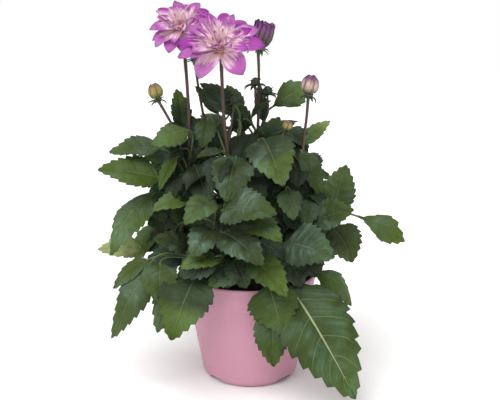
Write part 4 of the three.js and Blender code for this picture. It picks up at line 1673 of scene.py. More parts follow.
@dataclass(frozen=True)
class Bud:
    """A bud that stands on a stalk's cup, wrapped in petals that overlap.

    gape is how wide an opening bud stands at its top, overlap the degrees that half the petals of
    a ring cover between them, and swirl how far a petal turns round the bud on its way up.
    """

    name: str
    place: Triple
    axis: Triple
    radius: float
    length: float
    cup_radius: float
    slot: str
    opening: bool = False
    wraps: int = 6
    gape: float = 0.98
    overlap: float = 235.0
    swirl: float = 22.0
    thick: float = 0.4
    rows: int = 16
    columns: int = 10

    @property
    def cup(self) -> Cup:
        """The green cup that the bud stands on."""
        return Cup(self.place, self.axis, radius=self.cup_radius, depth=self.cup_radius * 1.2)

    def outline(self, scale: float = 1.0) -> Outline:
        """Returns (height, radius) points up the bud, drawn in at the top unless it is opening.

        Args:
            scale: how far out it lies, as a share of the bud's own outline.

        Returns:
            The points.
        """
        if not self.opening:
            return [(high, wide * scale) for wide, high in bud_profile(self.radius, self.length)]
        barrel = ((0.0, 0.45), (0.1, 0.72), (0.35, 0.97), (0.6, 1.0), (0.8, 0.95), (1.0, self.gape))
        return [(high * self.length, wide * self.radius * scale) for high, wide in barrel]

    def wrap(self, draft: Draft, azimuth: float, size: float, top: float, tone: float, count: int) -> None:
        """Adds one petal that lies against the bud.

        Args:
            draft: the draft to add it to.
            azimuth: its turn round the axis, in degrees.
            size: how far out it lies, as a share of the bud's radius.
            top: the height of its tip, as a share of the bud's length.
            tone: a number that varies its colour.
            count: the number of petals in its ring.
        """
        place, axis = Vector(self.place), Vector(self.axis).normalized()
        outline = self.outline(size)
        widths = ((0.0, 0.7), (0.3, 1.0), (0.72, 0.98), (0.9, 0.72), (0.97, 0.4), (1.0, 0.1))
        spread = self.overlap / count
        rows = []
        for i in range(self.rows + 1):
            share = i / self.rows
            height = share * top * self.length
            body = profiled(outline, min(height, self.length * 0.985))
            row = []
            for k in range(self.columns + 1):
                column = 2 * k / self.columns - 1
                angle = azimuth + column * spread * profiled(widths, share) + self.swirl * share
                out = around(axis, radians(angle))
                folds = 0.03 * self.radius * cos(1.5 * pi * column)
                reach = body + 0.05 * self.radius * (1 + column) + folds
                paint = {ALONG: share * top, ACROSS: column, TONE: tone}
                row.append((place + out * reach + axis * height, out, paint))
            rows.append(row)
        draft.blade(rows, self.thick, 0)

    def build(self, finish: Material) -> None:
        """Builds the bud from its finish: a closed heart and two or three rings of petals.

        Args:
            finish: the finish of its petals.
        """
        place, axis = Vector(self.place), Vector(self.axis).normalized()
        draft = Draft()
        heart = 0.62 if self.opening else 0.93
        body = [(wide * heart, high * 0.96) for wide, high in bud_profile(self.radius, self.length)]
        draft.turned(body, 24, 0, place, axis, paint=lambda share: {ALONG: share, ACROSS: 0.7})
        # Each ring's share of the radius, share of the length, number of petals and first place.
        rings = ((0.93, 0.97, self.wraps, 0.5), (0.99, 0.86, self.wraps, 0.0))
        if self.opening:
            rings = ((0.6, 0.97, 7, 0.3), (0.78, 1.0, 10, 0.5), (0.93, 0.94, 13, 0.0))
        for size, top, count, offset in rings:
            for number in range(count):
                tone = (number * 0.37 + size) % 1.0
                azimuth = 360 * (number + offset) / count
                self.wrap(draft, azimuth, size, top + 0.07 * (tone - 0.5), tone, count)
        seated(draft.made(self.name + "_petals", [finish]), self.slot, self.name)


def carved(body: Piece, tools: Sequence[Piece]) -> None:
    """Cuts closed tools out of a closed body and removes the tools.

    Args:
        body: the body, whose mesh is replaced.
        tools: the tools.
    """
    for tool in tools:
        step = body.modifiers.new("carve", "BOOLEAN")
        step.operation = "DIFFERENCE"
        step.solver = "EXACT"
        step.object = tool
    graph = bpy.context.evaluated_depsgraph_get()
    mesh = bpy.data.meshes.new_from_object(body.evaluated_get(graph))
    body.modifiers.clear()
    old = body.data
    body.data = mesh
    bpy.data.meshes.remove(old)
    for tool in tools:
        spent = tool.data
        bpy.data.objects.remove(tool)
        bpy.data.meshes.remove(spent)


@dataclass(frozen=True)
class Pot:
    """The moulded pot: a tapered wall, a soft lip and a foot with drain holes and channels.

    The front and the back each have a raised panel, which fades out over panel_fade at its top.
    """

    height: float = 124.5
    rim_radius: float = 78.0
    foot_radius: float = 57.0
    corner: float = 9.0
    wall: float = 1.8
    lip_height: float = 3.0
    lip_proud: float = 0.4
    panel_low: float = 96.5
    panel_high: float = 119.0
    panel_proud: float = 0.9
    panel_half_angle: float = 19.0
    panel_soft: float = 0.35
    panel_fade: float = 9.0
    panel_side: float = 1.9
    channels: int = 4
    channel_width: float = 24.0
    channel_height: float = 7.0
    channel_start: float = 30.0
    drain_radius: float = 3.5
    drain_at: float = 38.0
    drain_span: tuple[float, float] = (1.0, 20.0)
    crease: float = 34.0
    sides: int = 192

    def wall_radius(self, height: float) -> float:
        """Returns the radius of the outside of the wall at a height."""
        flare = (self.rim_radius - self.foot_radius) / (self.height - self.corner)
        return self.foot_radius + flare * (height - self.corner)

    def bend(self, inset: float) -> Outline:
        """Returns the foot's rounded corner, moved inwards, as (radius, height) points.

        Args:
            inset: how far it is moved inwards.

        Returns:
            The points, from the middle outwards.
        """
        centre, corner = self.foot_radius - self.corner, self.corner - inset
        turns = [radians(90 * i / 10) for i in range(11)]
        return [(centre + corner * sin(t), self.corner - corner * cos(t)) for t in turns]

    def outside(self) -> Outline:
        """Returns the outline of the pot without its hollow."""
        low = self.height - self.lip_height
        lip = self.rim_radius + self.lip_proud
        heights = [20.0, 40.0, 60.0, 80.0]
        heights += [self.panel_low - self.panel_soft, self.panel_low + self.panel_soft]
        heights += [self.panel_high - self.panel_fade * step / 5 for step in range(6, -1, -1)]
        outline = [(0.0, 0.0), *self.bend(0.0), *((self.wall_radius(z), z) for z in heights)]
        outline += [(lip - 0.2, low), (lip, low + 1.0), (lip, self.height - 1.0)]
        outline += [(lip - 0.3, self.height - 0.3), (lip - 1.0, self.height), (0.0, self.height)]
        return outline

    def raised(self, angle: float, height: float) -> float:
        """Returns how far a panel stands out at an angle and a height.

        Args:
            angle: the angle round the pot, in radians.
            height: the height.

        Returns:
            The height of the panel above the wall.
        """
        if not self.panel_low < height < self.panel_high:
            return 0.0
        from_middle = abs(degrees(angle) % 180 - 90)
        fade = eased((self.panel_high - height) / self.panel_fade)
        return self.panel_proud * fade * eased((self.panel_half_angle - from_middle) / self.panel_side + 0.5)

    def shell(self) -> Piece:
        """Builds the outside of the pot, with its panels."""
        draft = Draft()
        outline = self.outside()
        rows = []
        for radius, height in outline[1:-1]:
            places = [polar(radius + self.raised(t, height), t, height) for t in turns_round(self.sides)]
            rows.append([draft.point(place, {}) for place in places])
        draft.skin(rows, 0, ring=True)
        draft.face(tuple(rows[0]), 0)
        draft.face(tuple(rows[-1]), 0)
        return draft.made("pot_shell", [], crease=self.crease)

    def hollow(self) -> Piece:
        """Builds the space inside the pot."""
        draft = Draft()
        inner = self.wall_radius(self.height) - self.wall
        outline = [(0.0, self.wall), *self.bend(self.wall)]
        outline += [(inner - 0.4, self.height - 1.6), (inner, self.height - 0.5)]
        outline += [(inner + 0.5, self.height), (inner + 0.7, self.height + 1), (0.0, self.height + 1)]
        draft.turned(outline, self.sides, 0)
        return draft.made("pot_hollow", [])

    def channel(self, turn: float, spare: float) -> Piece:
        """Builds the arched space of one drainage channel, larger all round by a spare amount.

        Args:
            turn: the angle of its middle, in radians.
            spare: how much larger it is all round.

        Returns:
            The body to cut away.
        """
        half, top = self.channel_width / 2 + spare, self.channel_height + spare
        arch = [(half, -1.0)]
        for i in range(13):
            angle = pi * i / 12
            arch.append((half * cos(angle), top * (0.5 + 0.5 * sin(angle))))
        arch.append((-half, -1.0))
        draft = Draft()
        ends = []
        for reach in (self.channel_start - spare, self.rim_radius):
            place = polar(reach, turn)
            sideways = Vector((-sin(turn), cos(turn), 0.0))
            ends.append([draft.point(place + sideways * across + UP * up, {}) for across, up in arch])
        draft.skin(ends, 0, ring=True)
        for end in ends:
            draft.face(tuple(end), 0)
        return draft.made("pot_channel", [])

    def drain(self, turn: float) -> Piece:
        """Builds the space of one drain hole.

        Args:
            turn: its angle round the pot, in radians.

        Returns:
            The body to cut away.
        """
        draft = Draft()
        radius, (low, high) = self.drain_radius, self.drain_span
        outline = [(0.0, low), (radius, low), (radius, high), (0.0, high)]
        draft.turned(outline, 32, 0, polar(self.drain_at, turn))
        return draft.made("pot_drain", [])

    def build(self, plastic: Material) -> None:
        """Builds the pot from its finish.

        Args:
            plastic: the finish.
        """
        turns = [2 * pi * (i + 0.5) / self.channels for i in range(self.channels)]
        body, hollow = self.shell(), self.hollow()
        carved(hollow, [self.channel(turn, self.wall) for turn in turns])
        carved(body, [hollow])
        carved(body, [self.channel(turn, 0.0) for turn in turns] + [self.drain(turn) for turn in turns])
        mesh = body.data
        mesh.materials.clear()
        mesh.materials.append(plastic)
        mesh.polygons.foreach_set("use_smooth", [True] * len(mesh.polygons))
        mesh.set_sharp_from_angle(angle=radians(self.crease))
        body.name = "pot_moulding"
        seated(body, "pot_plastic", "pot")


@dataclass(frozen=True)
class Soil:
    """The soil that fills the pot, with a lumpy top strewn with crumbs."""

    pot: Pot
    level: float = 112.5
    inset: float = 2.1
    low: float = 9.1
    bump: float = 1.6
    rings: int = 44
    sides: int = 120
    crumbs: int = 520
    seed: int = 41

    def height_at(self, x: float, y: float) -> float:
        """Returns the height of the top at a place.

        Args:
            x: how far right it lies.
            y: how far back.

        Returns:
            The height.
        """
        broad = noise.noise(Vector((x * 0.05, y * 0.05, 3.7)))
        close = noise.noise(Vector((x * 0.22, y * 0.22, 8.1)))
        fine = noise.noise(Vector((x * 0.7, y * 0.7, 1.3)))
        return self.level + self.bump * (0.55 * broad + 0.4 * close + 0.25 * fine)

    def build(self, earth: Material) -> None:
        """Builds the soil from its finish.

        Args:
            earth: the finish.
        """
        draft = Draft()
        outer = self.pot.wall_radius(self.level - 1) - self.inset
        foot = self.pot.wall_radius(self.low) - self.inset
        circle = turns_round(self.sides)
        rows = []
        for radius, height in ((foot, self.low), (outer, self.level - 2)):
            rows.append([draft.point(polar(radius, angle, height), {}) for angle in circle])
        for ring in range(self.rings):
            radius = outer * (1 - ring / self.rings)
            row = []
            for angle in circle:
                x, y = radius * cos(angle), radius * sin(angle)
                row.append(draft.point(Vector((x, y, self.height_at(x, y))), {}))
            rows.append(row)
        draft.skin(rows, 0, ring=True)
        draft.face(tuple(rows[0]), 0)
        draft.face(tuple(rows[-1]), 0)
        self.strew(draft, outer)
        seated(draft.made("soil_bed", [earth], crease=70.0), "soil", "soil")

    def strew(self, draft: Draft, outer: float) -> None:
        """Strews crumbs over the top, each a small uneven lump.

        Args:
            draft: the draft to add it to.
            outer: the radius of the soil at its top.
        """
        draw = Random(self.seed)
        for _ in range(self.crumbs):
            radius, angle = (outer - 2.5) * sqrt(draw.random()), draw.uniform(0, 2 * pi)
            x, y = radius * cos(angle), radius * sin(angle)
            size = draw.uniform(0.5, 1.5) ** 1.4
            lean = Vector((draw.uniform(-1, 1), draw.uniform(-1, 1), 0.6)).normalized()
            shape = [draw.uniform(0.7, 1.3) for _ in range(6)]
            outline = [(0.0, -0.7 * size), (0.8 * size, -0.35 * size), (size, 0.2 * size)]
            outline += [(0.6 * size, 0.65 * size), (0.0, 0.8 * size)]
            draft.turned(
                outline, 6, 0, Vector((x, y, self.height_at(x, y) + 0.2 * size)), lean,
                swell=lambda turn, share, shape=shape: shape[round(3 * turn / pi) % 6]
            )


@dataclass(frozen=True)
class Studio:
    """The plain floor, the soft light and the camera."""

    effects: Effects
    camera_place: Triple = (0.0, -0.79, 0.377)
    camera_pitch: float = 77.9
    lens: float = 50.4
    sensor_width: float = 36.0
    floor_radius: float = 12000.0
    sky: Colour = (1.0, 1.0, 0.98, 1.0)
    sky_strength: float = 0.72
    backdrop: Colour = (1.0, 1.0, 1.0, 1.0)
    sun_side: Triple = (-0.4, -0.8, 1.3)
    sun_power: float = 0.82
    sun_spread: float = 50.0

    def build(self) -> None:
        """Builds the studio."""
        self.camera()
        self.floor()
        self.world()
        self.sun()
        bpy.context.scene.view_settings.view_transform = "Standard"

    def camera(self) -> None:
        """Builds the camera at the photograph's angle."""
        data = bpy.data.cameras.new("camera")
        data.lens = self.lens
        data.sensor_width = self.sensor_width
        camera = placed("camera", data)
        camera.location = self.camera_place
        camera.rotation_euler = (radians(self.camera_pitch), 0.0, 0.0)
        bpy.context.scene.camera = camera

    def floor(self) -> None:
        """Builds the pale floor."""
        draft = Draft()
        edge = [draft.point(polar(self.floor_radius, turn), {}) for turn in turns_round(64)]
        draft.face(tuple(edge), 0)
        draft.made("floor", [FloorFinish(self.effects).material()])

    def world(self) -> None:
        """Makes the even light that comes from all round, white where the camera sees it."""
        world = bpy.data.worlds.new("studio")
        world.use_nodes = True
        bench = Bench(world.node_tree)
        bench.tree.nodes.clear()
        seen = bench.take("Is Camera Ray", "ShaderNodeLightPath")
        light = bench.take(0, "ShaderNodeBackground", {"Color": self.sky, "Strength": self.sky_strength})
        plain = bench.take(0, "ShaderNodeBackground", {"Color": self.backdrop, "Strength": 1.0})
        both = bench.take(0, "ShaderNodeMixShader", {0: seen, 1: light, 2: plain})
        bench.put("ShaderNodeOutputWorld", {"Surface": both})
        bpy.context.scene.world = world

    def sun(self) -> None:
        """Adds a soft lamp so far off that it lights the whole floor alike."""
        data = bpy.data.lights.new("key", "SUN")
        data.energy = self.sun_power * pi
        data.angle = radians(self.sun_spread)
        turn = Vector(self.sun_side).to_track_quat("Z", "Y")
        placed("key", data).rotation_euler = turn.to_euler()


BLOOM_FRONT = Bloom(
    "bloom_front",
    place=(-31, -38, 377),
    axis=(-0.04, -0.77, 0.64),
    scale=1.0,
    seed=11,
    azimuths=(
        (-121, -57, -6, 28, 53, 80, 112, 140, 168, 197),
        (-140, -35, 15, 65, 110, 155, 215),
        (-60, 5, 60, 110, 165, 235),
        (-90, -18, 54, 126, 198),
    ),
    behind=(11, 41, 66, 96, 126, 154, 183),
)
BLOOM_BACK = Bloom(
    "bloom_back",
    place=(-76, 12, 399),
    axis=(-0.06, -0.8, 0.6),
    scale=0.8,
    seed=23,
    azimuths=(
        (-144, -114, -82, -40, -5, 30, 55, 90, 128, 175),
        (-100, -50, 0, 50, 100, 148, 200),
        (-75, -15, 45, 105, 165, 230),
        (-90, -18, 54, 126, 198),
    ),
    behind=(12, 42, 73, 103, 116, 141, 160, -165),
)
BUD_PURPLE = Bud("bud_purple", (11, 20, 381), (0.24, -0.1, 1), 12, 28, 7, "purple_bud", opening=True)
BUD_HIDDEN = Bud("bud_hidden", (-66, 62, 368), (-0.1, 0.1, 1), 8.5, 20, 5.5, "purple_bud")
BUD_STRIPED = Bud("bud_striped", (65, -10, 330), (0.12, -0.1, 1), 9, 21, 5.5, "cream_bud")
BUD_SMALL = Bud("bud_small", (40, -20, 291), (0.25, -0.2, 1), 5.2, 11, 3.6, "cream_bud", wraps=5)
BUD_YELLOW = Bud("bud_yellow", (-102, -10, 325), (-0.3, -0.1, 1), 7.5, 17, 4.5, "yellow_bud")

BEND = 116.5
STEM_LEFT = LeafyStem(
    "stem_left",
    through=((-30, 2, BEND), (-42, 2, 150), (-60, 0, 200), (-71, 1, 240)),
    leaves=(
        Leaf(225, (-101, -10, 269), (-156, -20, 266), (0, -0.45, 0.89), 44, 3, teeth=4),
        Leaf(205, (-102, -25, 238), (-164, -45, 250), (-0.1, -0.65, 0.75), 50, 4, LIT, teeth=4),
        Leaf(238, (-69, -17, 290), (-106, -37, 275), (0, -0.65, 0.75), 36, 6, LIT, fold=-12),
        Leaf(236, (-78, 15, 289), (-85, 25, 333), (0.3, -0.9, 0.1), 26, 4, fold=15, tip_light=0.2),
        Leaf(
            190, (-107, -15, 219), (-153, -50, 156), (-0.35, -0.75, 0.6), 43, 15, SOFT, fold=-14, teeth=5,
            frost=0.9
        ),
        Leaf(170, (-69, -30, 213), (-106, -50, 206), (0, -0.6, 0.8), 28, 6, LIT, fold=10),
        Leaf(150, (-127, 0, 148), (-176, -10, 151), (0, -0.6, 0.8), 34, 4, PALE, fold=5),
        Leaf(155, (-106, 10, 174), (-134, 0, 130), (-0.5, -0.6, 0.5), 36, 6, BRIGHT, fold=10),
        Leaf(215, (-62, -14, 250), (-44, -44, 212), (0, -0.85, 0.5), 40, 6, DEEP),
        Leaf(195, (-86, 6, 235), (-104, -8, 194), (-0.1, -0.85, 0.5), 42, 6, DEEP),
        Leaf(165, (-58, -8, 205), (-84, -30, 170), (0, -0.8, 0.6), 44, 7, teeth=4),
        Leaf(200, (-82, -17, 259), (-100, -32, 225), (-0.3, -0.9, 0.3), 17, 5, SOFT, fold=20),
        Leaf(160, (-89, -20, 179), (-121, -25, 198), (0.2, -0.8, 0.5), 22, 3, fold=10),
        Leaf(220, (-76, -4, 268), (-111, -6, 248), (0, -0.7, 0.6), 38, 4, DEEP),
        Leaf(160, (-74, -12, 196), (-117, -14, 182), (0, -0.7, 0.6), 40, 5, DEEP),
        Leaf(235, (-72, 4, 288), (-104, 2, 268), (0, -0.7, 0.6), 36, 4, DEEP),
        Leaf(200, (-69, 2, 250), (-99, -2, 214), (0, -0.8, 0.5), 44, 5, DEEP),
        Leaf(150, (-78, -8, 172), (-122, -6, 150), (0, -0.7, 0.6), 38, 5, DEEP),
        Leaf(140, (-72, -30, 152), (-118, -38, 144), (0, -0.7, 0.6), 34, 4, DEEP),
        Leaf(210, (-67, 12, 243), (-79, 12, 280), (0, -0.95, 0.3), 30, 4, DEEP),
        Leaf(215, (-46, 6, 251), (-75, 6, 260), (0, -0.9, 0.4), 30, 4, DEEP),
        Leaf(180, (-56, -4, 201), (-87, -4, 216), (0, -0.9, 0.4), 34, 4, DEEP),
        Leaf(222, (-84, 0, 262), (-122, 0, 256), (0, -0.8, 0.5), 30, 4, LIT),
        Leaf(215, (-84, -8, 238), (-118, -10, 246), (0, -0.8, 0.5), 28, 4),
    ),
    stalks=(
        FlowerStalk(((-70, 1, 238), (-69, 4, 290), (-71, 9, 340)), BLOOM_BACK.cup),
        FlowerStalk(((-71, 1, 236), (-83, -7, 286), (-93, -10, 307)), BUD_YELLOW.cup, radius=1.7),
    ),
)
STEM_FRONT_LEFT = LeafyStem(
    "stem_front_left",
    through=((-22, -28, BEND), (-27, -36, 130), (-34, -44, 165), (-38, -50, 195)),
    leaves=(
        Leaf(
            140, (-107, -60, 152), (-155, -58, 62), (-0.4, -0.85, 0.3), 44, 4, SOFT, fold=-10, teeth=5,
            frost=0.8
        ),
        Leaf(140, (-97, -66, 151), (-95, -87, 114), (0, -0.8, 0.5), 42, 5, SOFT, frost=0.9),
        Leaf(140, (-112, -54, 152), (-154, -40, 114), (-0.3, -0.7, 0.6), 24, 4, LIT),
        Leaf(
            128, (-57, -70, 140), (-82, -110, 82), (-0.1, -0.75, 0.6), 64, 9, teeth=5, tip_light=0.35,
            frost=-0.5
        ),
        Leaf(180, (-32, -72, 161), (-72, -96, 155), (0, -0.6, 0.8), 30, 6, LIT),
        Leaf(190, (-39, -73, 192), (-60, -100, 168), (0, -0.7, 0.7), 36, 5, frost=1.0),
        Leaf(150, (-68, -44, 164), (-105, -60, 178), (0.1, -0.75, 0.6), 30, 5, fold=10),
        Leaf(192, (-39, -62, 220), (-67, -92, 201), (0, -0.65, 0.75), 36, 6, SOFT),
        Leaf(130, (-8, -66, 146), (-44, -88, 132), (0, -0.65, 0.75), 34, 6),
        Leaf(135, (-76, -66, 140), (-99, -90, 82), (-0.2, -0.85, 0.5), 36, 5, SOFT),
        Leaf(140, (-15, -70, 158), (-4, -88, 131), (0, -0.8, 0.5), 34, 4, DEEP),
        Leaf(135, (-30, -68, 156), (-23, -88, 131), (0, -0.8, 0.5), 30, 4, DEEP),
        Leaf(140, (-36, -80, 164), (-76, -84, 144), (0, -0.8, 0.5), 36, 5, DEEP),
        Leaf(185, (-28, -46, 212), (-42, -46, 174), (0, -0.9, 0.4), 34, 4, DEEP),
    ),
)
STEM_CENTRE = LeafyStem(
    "stem_centre",
    through=((-4, -10, BEND), (-10, -14, 170), (-18, -18, 225), (-24, -20, 264)),
    leaves=(
        Leaf(
            245, (15, -30, 282), (35, -75, 238), (-0.1, -0.8, 0.6), 54, 10, teeth=5, tip_light=0.42,
            frost=0.5
        ),
        Leaf(248, (-15, -45, 264), (-25, -80, 222), (0, -0.85, 0.5), 48, 8, teeth=4, frost=0.4),
        Leaf(205, (-28, -75, 213), (27, -112, 217), (0, -0.75, 0.65), 50, 9, teeth=6, frost=1.0),
        Leaf(190, (-5, -72, 198), (32, -116, 190), (0.1, -0.7, 0.7), 36, 6, SOFT, teeth=4, frost=0.6),
        Leaf(180, (-28, -82, 190), (13, -122, 167), (0, -0.7, 0.7), 44, 8, teeth=5, frost=1.3),
        Leaf(250, (-48, 5, 300), (-54, -4, 268), (0, -0.9, 0.3), 28, 4, fold=10),
        Leaf(250, (-13, -2, 300), (-50, -6, 335), (0, -0.9, 0.3), 22, 6, DEEP, fold=10, taper=1.3),
        Leaf(255, (-31, -26, 268), (-59, -36, 262), (0, -0.5, 0.85), 16, 3),
        Leaf(230, (12, -15, 245), (50, -25, 252), (0, -0.7, 0.7), 30, 5, DEEP),
        Leaf(245, (-18, 12, 316), (-56, 16, 337), (0, -0.8, 0.5), 20, 4, DEEP),
        Leaf(240, (-34, 2, 258), (-33, 4, 295), (0, -0.95, 0.3), 34, 4, DEEP),
        Leaf(225, (-14, 6, 246), (2, 8, 280), (0, -0.95, 0.3), 36, 4, DEEP),
        Leaf(250, (-52, 10, 274), (-72, 10, 303), (0, -0.9, 0.3), 30, 4, DEEP),
        Leaf(190, (-17, -60, 209), (4, -60, 185), (0, -0.9, 0.4), 30, 4, DEEP),
        Leaf(235, (-6, -24, 251), (20, -24, 229), (0, -0.9, 0.4), 30, 4, DEEP),
    ),
    stalks=(
        FlowerStalk(((-24, -20, 262), (-28, -26, 300), (-30, -31, 345)), BLOOM_FRONT.cup),
    ),
    green_buds=(
        GreenBud(((-25, -21, 270), (-20, -14, 300)), (-18, -12, 318), 4.2, 9),
    ),
)
STEM_FRONT_RIGHT = LeafyStem(
    "stem_front_right",
    through=((20, -34, BEND), (23, -42, 130), (27, -50, 155)),
    leaves=(
        Leaf(145, (20, -80, 132), (34, -102, 86), (0, -0.85, 0.5), 58, 6, SOFT, fold=-6, teeth=5),
        Leaf(145, (22, -91, 110), (25, -98, 47), (0, -0.97, 0.2), 40, 4, SOFT, teeth=4),
        Leaf(
            130, (43, -68, 127), (110, -120, 21), (0.1, -0.8, 0.6), 93, 8, SOFT, fold=6, teeth=5, ribs=0.75
        ),
        Leaf(150, (2, -72, 158), (38, -112, 130), (0.1, -0.75, 0.65), 40, 8, LIT, fold=6, teeth=4),
        Leaf(152, (39, -62, 173), (88, -92, 166), (0, -0.8, 0.6), 56, 7, teeth=5, frost=0.8),
        Leaf(140, (46, -52, 150), (80, -58, 146), (0, -0.5, 0.85), 24, 4, DEEP),
        Leaf(150, (42, -62, 160), (54, -76, 128), (0.1, -0.8, 0.5), 36, 4, DEEP),
        Leaf(150, (9, -60, 174), (43, -62, 157), (0, -0.85, 0.5), 34, 4, DEEP),
        Leaf(140, (56, -56, 160), (72, -60, 134), (0.1, -0.85, 0.5), 26, 4, DEEP),
    ),
)
STEM_RIGHT = LeafyStem(
    "stem_right",
    through=((32, 4, BEND), (38, 2, 150), (50, -4, 210), (58, -8, 255)),
    leaves=(
        Leaf(190, (95, -20, 203), (107, -20, 252), (-0.1, -0.9, 0.4), 43, 5, SOFT, teeth=4),
        Leaf(180, (72, -50, 194), (110, -70, 212), (0, -0.75, 0.65), 40, 5, teeth=4, frost=0.8),
        Leaf(185, (122, -20, 193), (175, -26, 165), (0, -0.65, 0.75), 36, 3, SOFT, taper=1.2),
        Leaf(170, (93, -30, 183), (113, -50, 148), (0.1, -0.8, 0.55), 47, 6, teeth=4),
        Leaf(130, (74, -45, 135), (114, -46, 96), (0.5, -0.6, 0.6), 38, 12, LIT, fold=-15),
        Leaf(235, (58, -12, 266), (79, -26, 216), (0.2, -0.85, 0.4), 26, 5, fold=12),
        Leaf(250, (61, 5, 271), (92, 15, 297), (-0.4, -0.8, 0.45), 22, 4, BRIGHT, fold=10),
        Leaf(252, (60, 2, 270), (18, -4, 290), (0, -0.5, 0.85), 28, 8, DEEP),
        Leaf(225, (46, -4, 248), (66, -24, 204), (0, -0.85, 0.5), 42, 6, DEEP),
        Leaf(150, (52, -22, 186), (68, -42, 148), (0, -0.8, 0.6), 44, 6, DEEP, teeth=4),
        Leaf(215, (39, -55, 230), (46, -76, 202), (0, -0.85, 0.5), 28, 5),
        Leaf(200, (66, -34, 216), (60, -58, 189), (0, -0.8, 0.55), 28, 5),
        Leaf(230, (41, 10, 287), (66, 8, 262), (0, -0.85, 0.4), 34, 4, DEEP),
        Leaf(150, (58, -2, 184), (93, -4, 160), (0, -0.8, 0.5), 40, 5, DEEP),
        Leaf(190, (34, 0, 228), (54, -4, 186), (0, -0.85, 0.4), 40, 5, DEEP),
        Leaf(230, (37, 0, 263), (67, 0, 242), (0, -0.9, 0.4), 34, 4, DEEP),
        Leaf(190, (38, -30, 205), (67, -30, 180), (0, -0.9, 0.4), 32, 4, DEEP),
    ),
    stalks=(
        FlowerStalk(((58, -8, 253), (60, -10, 278), (63, -10, 305)), BUD_STRIPED.cup, radius=1.7),
        FlowerStalk(((55, -7, 243), (34, -16, 268), (38, -19, 280)), BUD_SMALL.cup, radius=1.7),
    ),
)
STEM_BACK_LEFT = LeafyStem(
    "stem_back_left",
    through=((-16, 30, BEND), (-26, 38, 160), (-42, 52, 230), (-52, 58, 280)),
    leaves=(
        Leaf(262, (-38, 45, 303), (-65, 50, 335), (0.2, -0.85, 0.5), 18, 2, fold=12),
        Leaf(140, (-54, 72, 160), (-88, 128, 120), (-0.2, 0.6, 0.8), 52, 12, teeth=5),
        Leaf(190, (-76, 58, 205), (-138, 84, 180), (-0.4, 0.4, 0.8), 48, 12, teeth=5),
        Leaf(225, (-66, 82, 240), (-98, 122, 228), (-0.2, 0.5, 0.85), 40, 8, teeth=4),
        Leaf(250, (-44, 84, 278), (-56, 118, 296), (0, 0.2, 1), 34, 6),
        Leaf(210, (-64, 30, 232), (-104, 34, 238), (-0.1, -0.5, 0.85), 34, 6),
        Leaf(130, (-62, 58, 138), (-104, 90, 84), (-0.6, 0.5, 0.5), 46, 10, teeth=4),
        Leaf(265, (-24, 60, 317), (-61, 70, 337), (0.1, -0.7, 0.7), 20, 3, fold=10),
    ),
    stalks=(
        FlowerStalk(((-52, 58, 278), (-60, 60, 320), (-64, 61, 348)), BUD_HIDDEN.cup, radius=1.7),
    ),
)
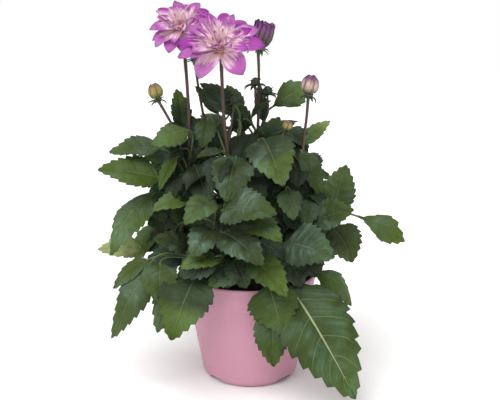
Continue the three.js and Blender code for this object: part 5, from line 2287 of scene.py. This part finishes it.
STEM_BACK_RIGHT = LeafyStem(
    "stem_back_right",
    through=((14, 28, BEND), (14, 28, 170), (10, 25, 240), (9, 21, 285)),
    leaves=(
        Leaf(262, (-7, 32, 283), (-15, 38, 320), (0, -0.95, 0.3), 28, 4, fold=12),
        Leaf(275, (24, 36, 310), (69, 42, 337), (0.2, -0.9, 0.4), 38, 8, SOFT, fold=-10, taper=1.3),
        Leaf(150, (18, 84, 164), (10, 146, 128), (0, 0.6, 0.8), 54, 12, teeth=5),
        Leaf(170, (62, 58, 190), (120, 92, 160), (0.4, 0.5, 0.8), 50, 12, teeth=5),
        Leaf(200, (16, 76, 222), (10, 126, 218), (0, 0.4, 0.9), 42, 8, teeth=4),
        Leaf(225, (50, 58, 244), (92, 92, 236), (0.3, 0.4, 0.9), 40, 8, teeth=4),
        Leaf(250, (34, 54, 276), (58, 84, 290), (0.1, 0.2, 1), 32, 6),
        Leaf(130, (58, 66, 142), (92, 108, 84), (0.5, 0.6, 0.5), 50, 10, teeth=5),
        Leaf(220, (14, 4, 230), (42, -16, 190), (0, -0.8, 0.6), 46, 6, teeth=4),
        Leaf(245, (16, 28, 262), (34, 16, 302), (0, -0.9, 0.4), 38, 5, fold=10),
        Leaf(210, (48, 26, 232), (98, 36, 226), (0.1, -0.4, 0.9), 36, 7, teeth=4),
        Leaf(280, (2, 14, 302), (24, 6, 321), (-0.4, -0.6, 0.7), 14, 3, fold=12),
        Leaf(270, (-12, 50, 304), (-28, 60, 336), (0.1, -0.8, 0.5), 22, 4, fold=10),
        Leaf(260, (16, 30, 296), (10, 34, 338), (0, -0.9, 0.3), 18, 4, DEEP),
    ),
    stalks=(
        FlowerStalk(((9, 21, 283), (10, 20, 320), (10, 20, 355)), BUD_PURPLE.cup, radius=1.7),
    ),
    green_buds=(
        GreenBud(((9, 20, 312), (6, 11, 325)), (6, 8, 337), 5, 10),
        GreenBud(((9, 21, 284), (20, 18, 305)), (20, 18, 326), 5.4, 11),
    ),
)
STEMS = (
    STEM_LEFT, STEM_FRONT_LEFT, STEM_CENTRE, STEM_FRONT_RIGHT,
    STEM_RIGHT, STEM_BACK_LEFT, STEM_BACK_RIGHT,
)


def main() -> None:
    """Builds every piece."""
    logging.basicConfig(level=logging.INFO, format="%(message)s")
    effects = Effects.built()
    Studio(effects).build()
    pot = Pot()
    pot.build(PlasticFinish(effects).material())
    Soil(pot).build(SoilFinish(effects).material())
    greens = [finish(effects).material() for finish in (LeafFinish, StalkFinish, BractFinish)]
    for stem in STEMS:
        stem.build(greens)
    petal, floret = PetalFinish(effects).material(), FloretFinish(effects).material()
    for bloom in (BLOOM_BACK, BLOOM_FRONT):
        bloom.build(petal, floret)
    purple = BudFinish(
        effects, name="purple_bud", base=tint("5E5A36"), middle=tint("96609A"), tip=tint("87468E"),
        line=tint("54384E"), base_to=1.0
    ).material()
    cream = BudFinish(effects, name="cream_bud").material()
    yellow = BudFinish(
        effects, name="yellow_bud", base=tint("6C6C34"), middle=tint("AAA258"), tip=tint("987058"),
        tip_from=0.66
    ).material()
    for finish, buds in (
        (purple, (BUD_PURPLE, BUD_HIDDEN)), (cream, (BUD_STRIPED,)), (yellow, (BUD_SMALL, BUD_YELLOW))
    ):
        for bud in buds:
            bud.build(finish)


def plain(box: Iterable) -> list:
    """Returns a box as plain lists of numbers."""
    return [[float(value) for value in corner] for corner in box]


if __name__ == "__main__":
    main()
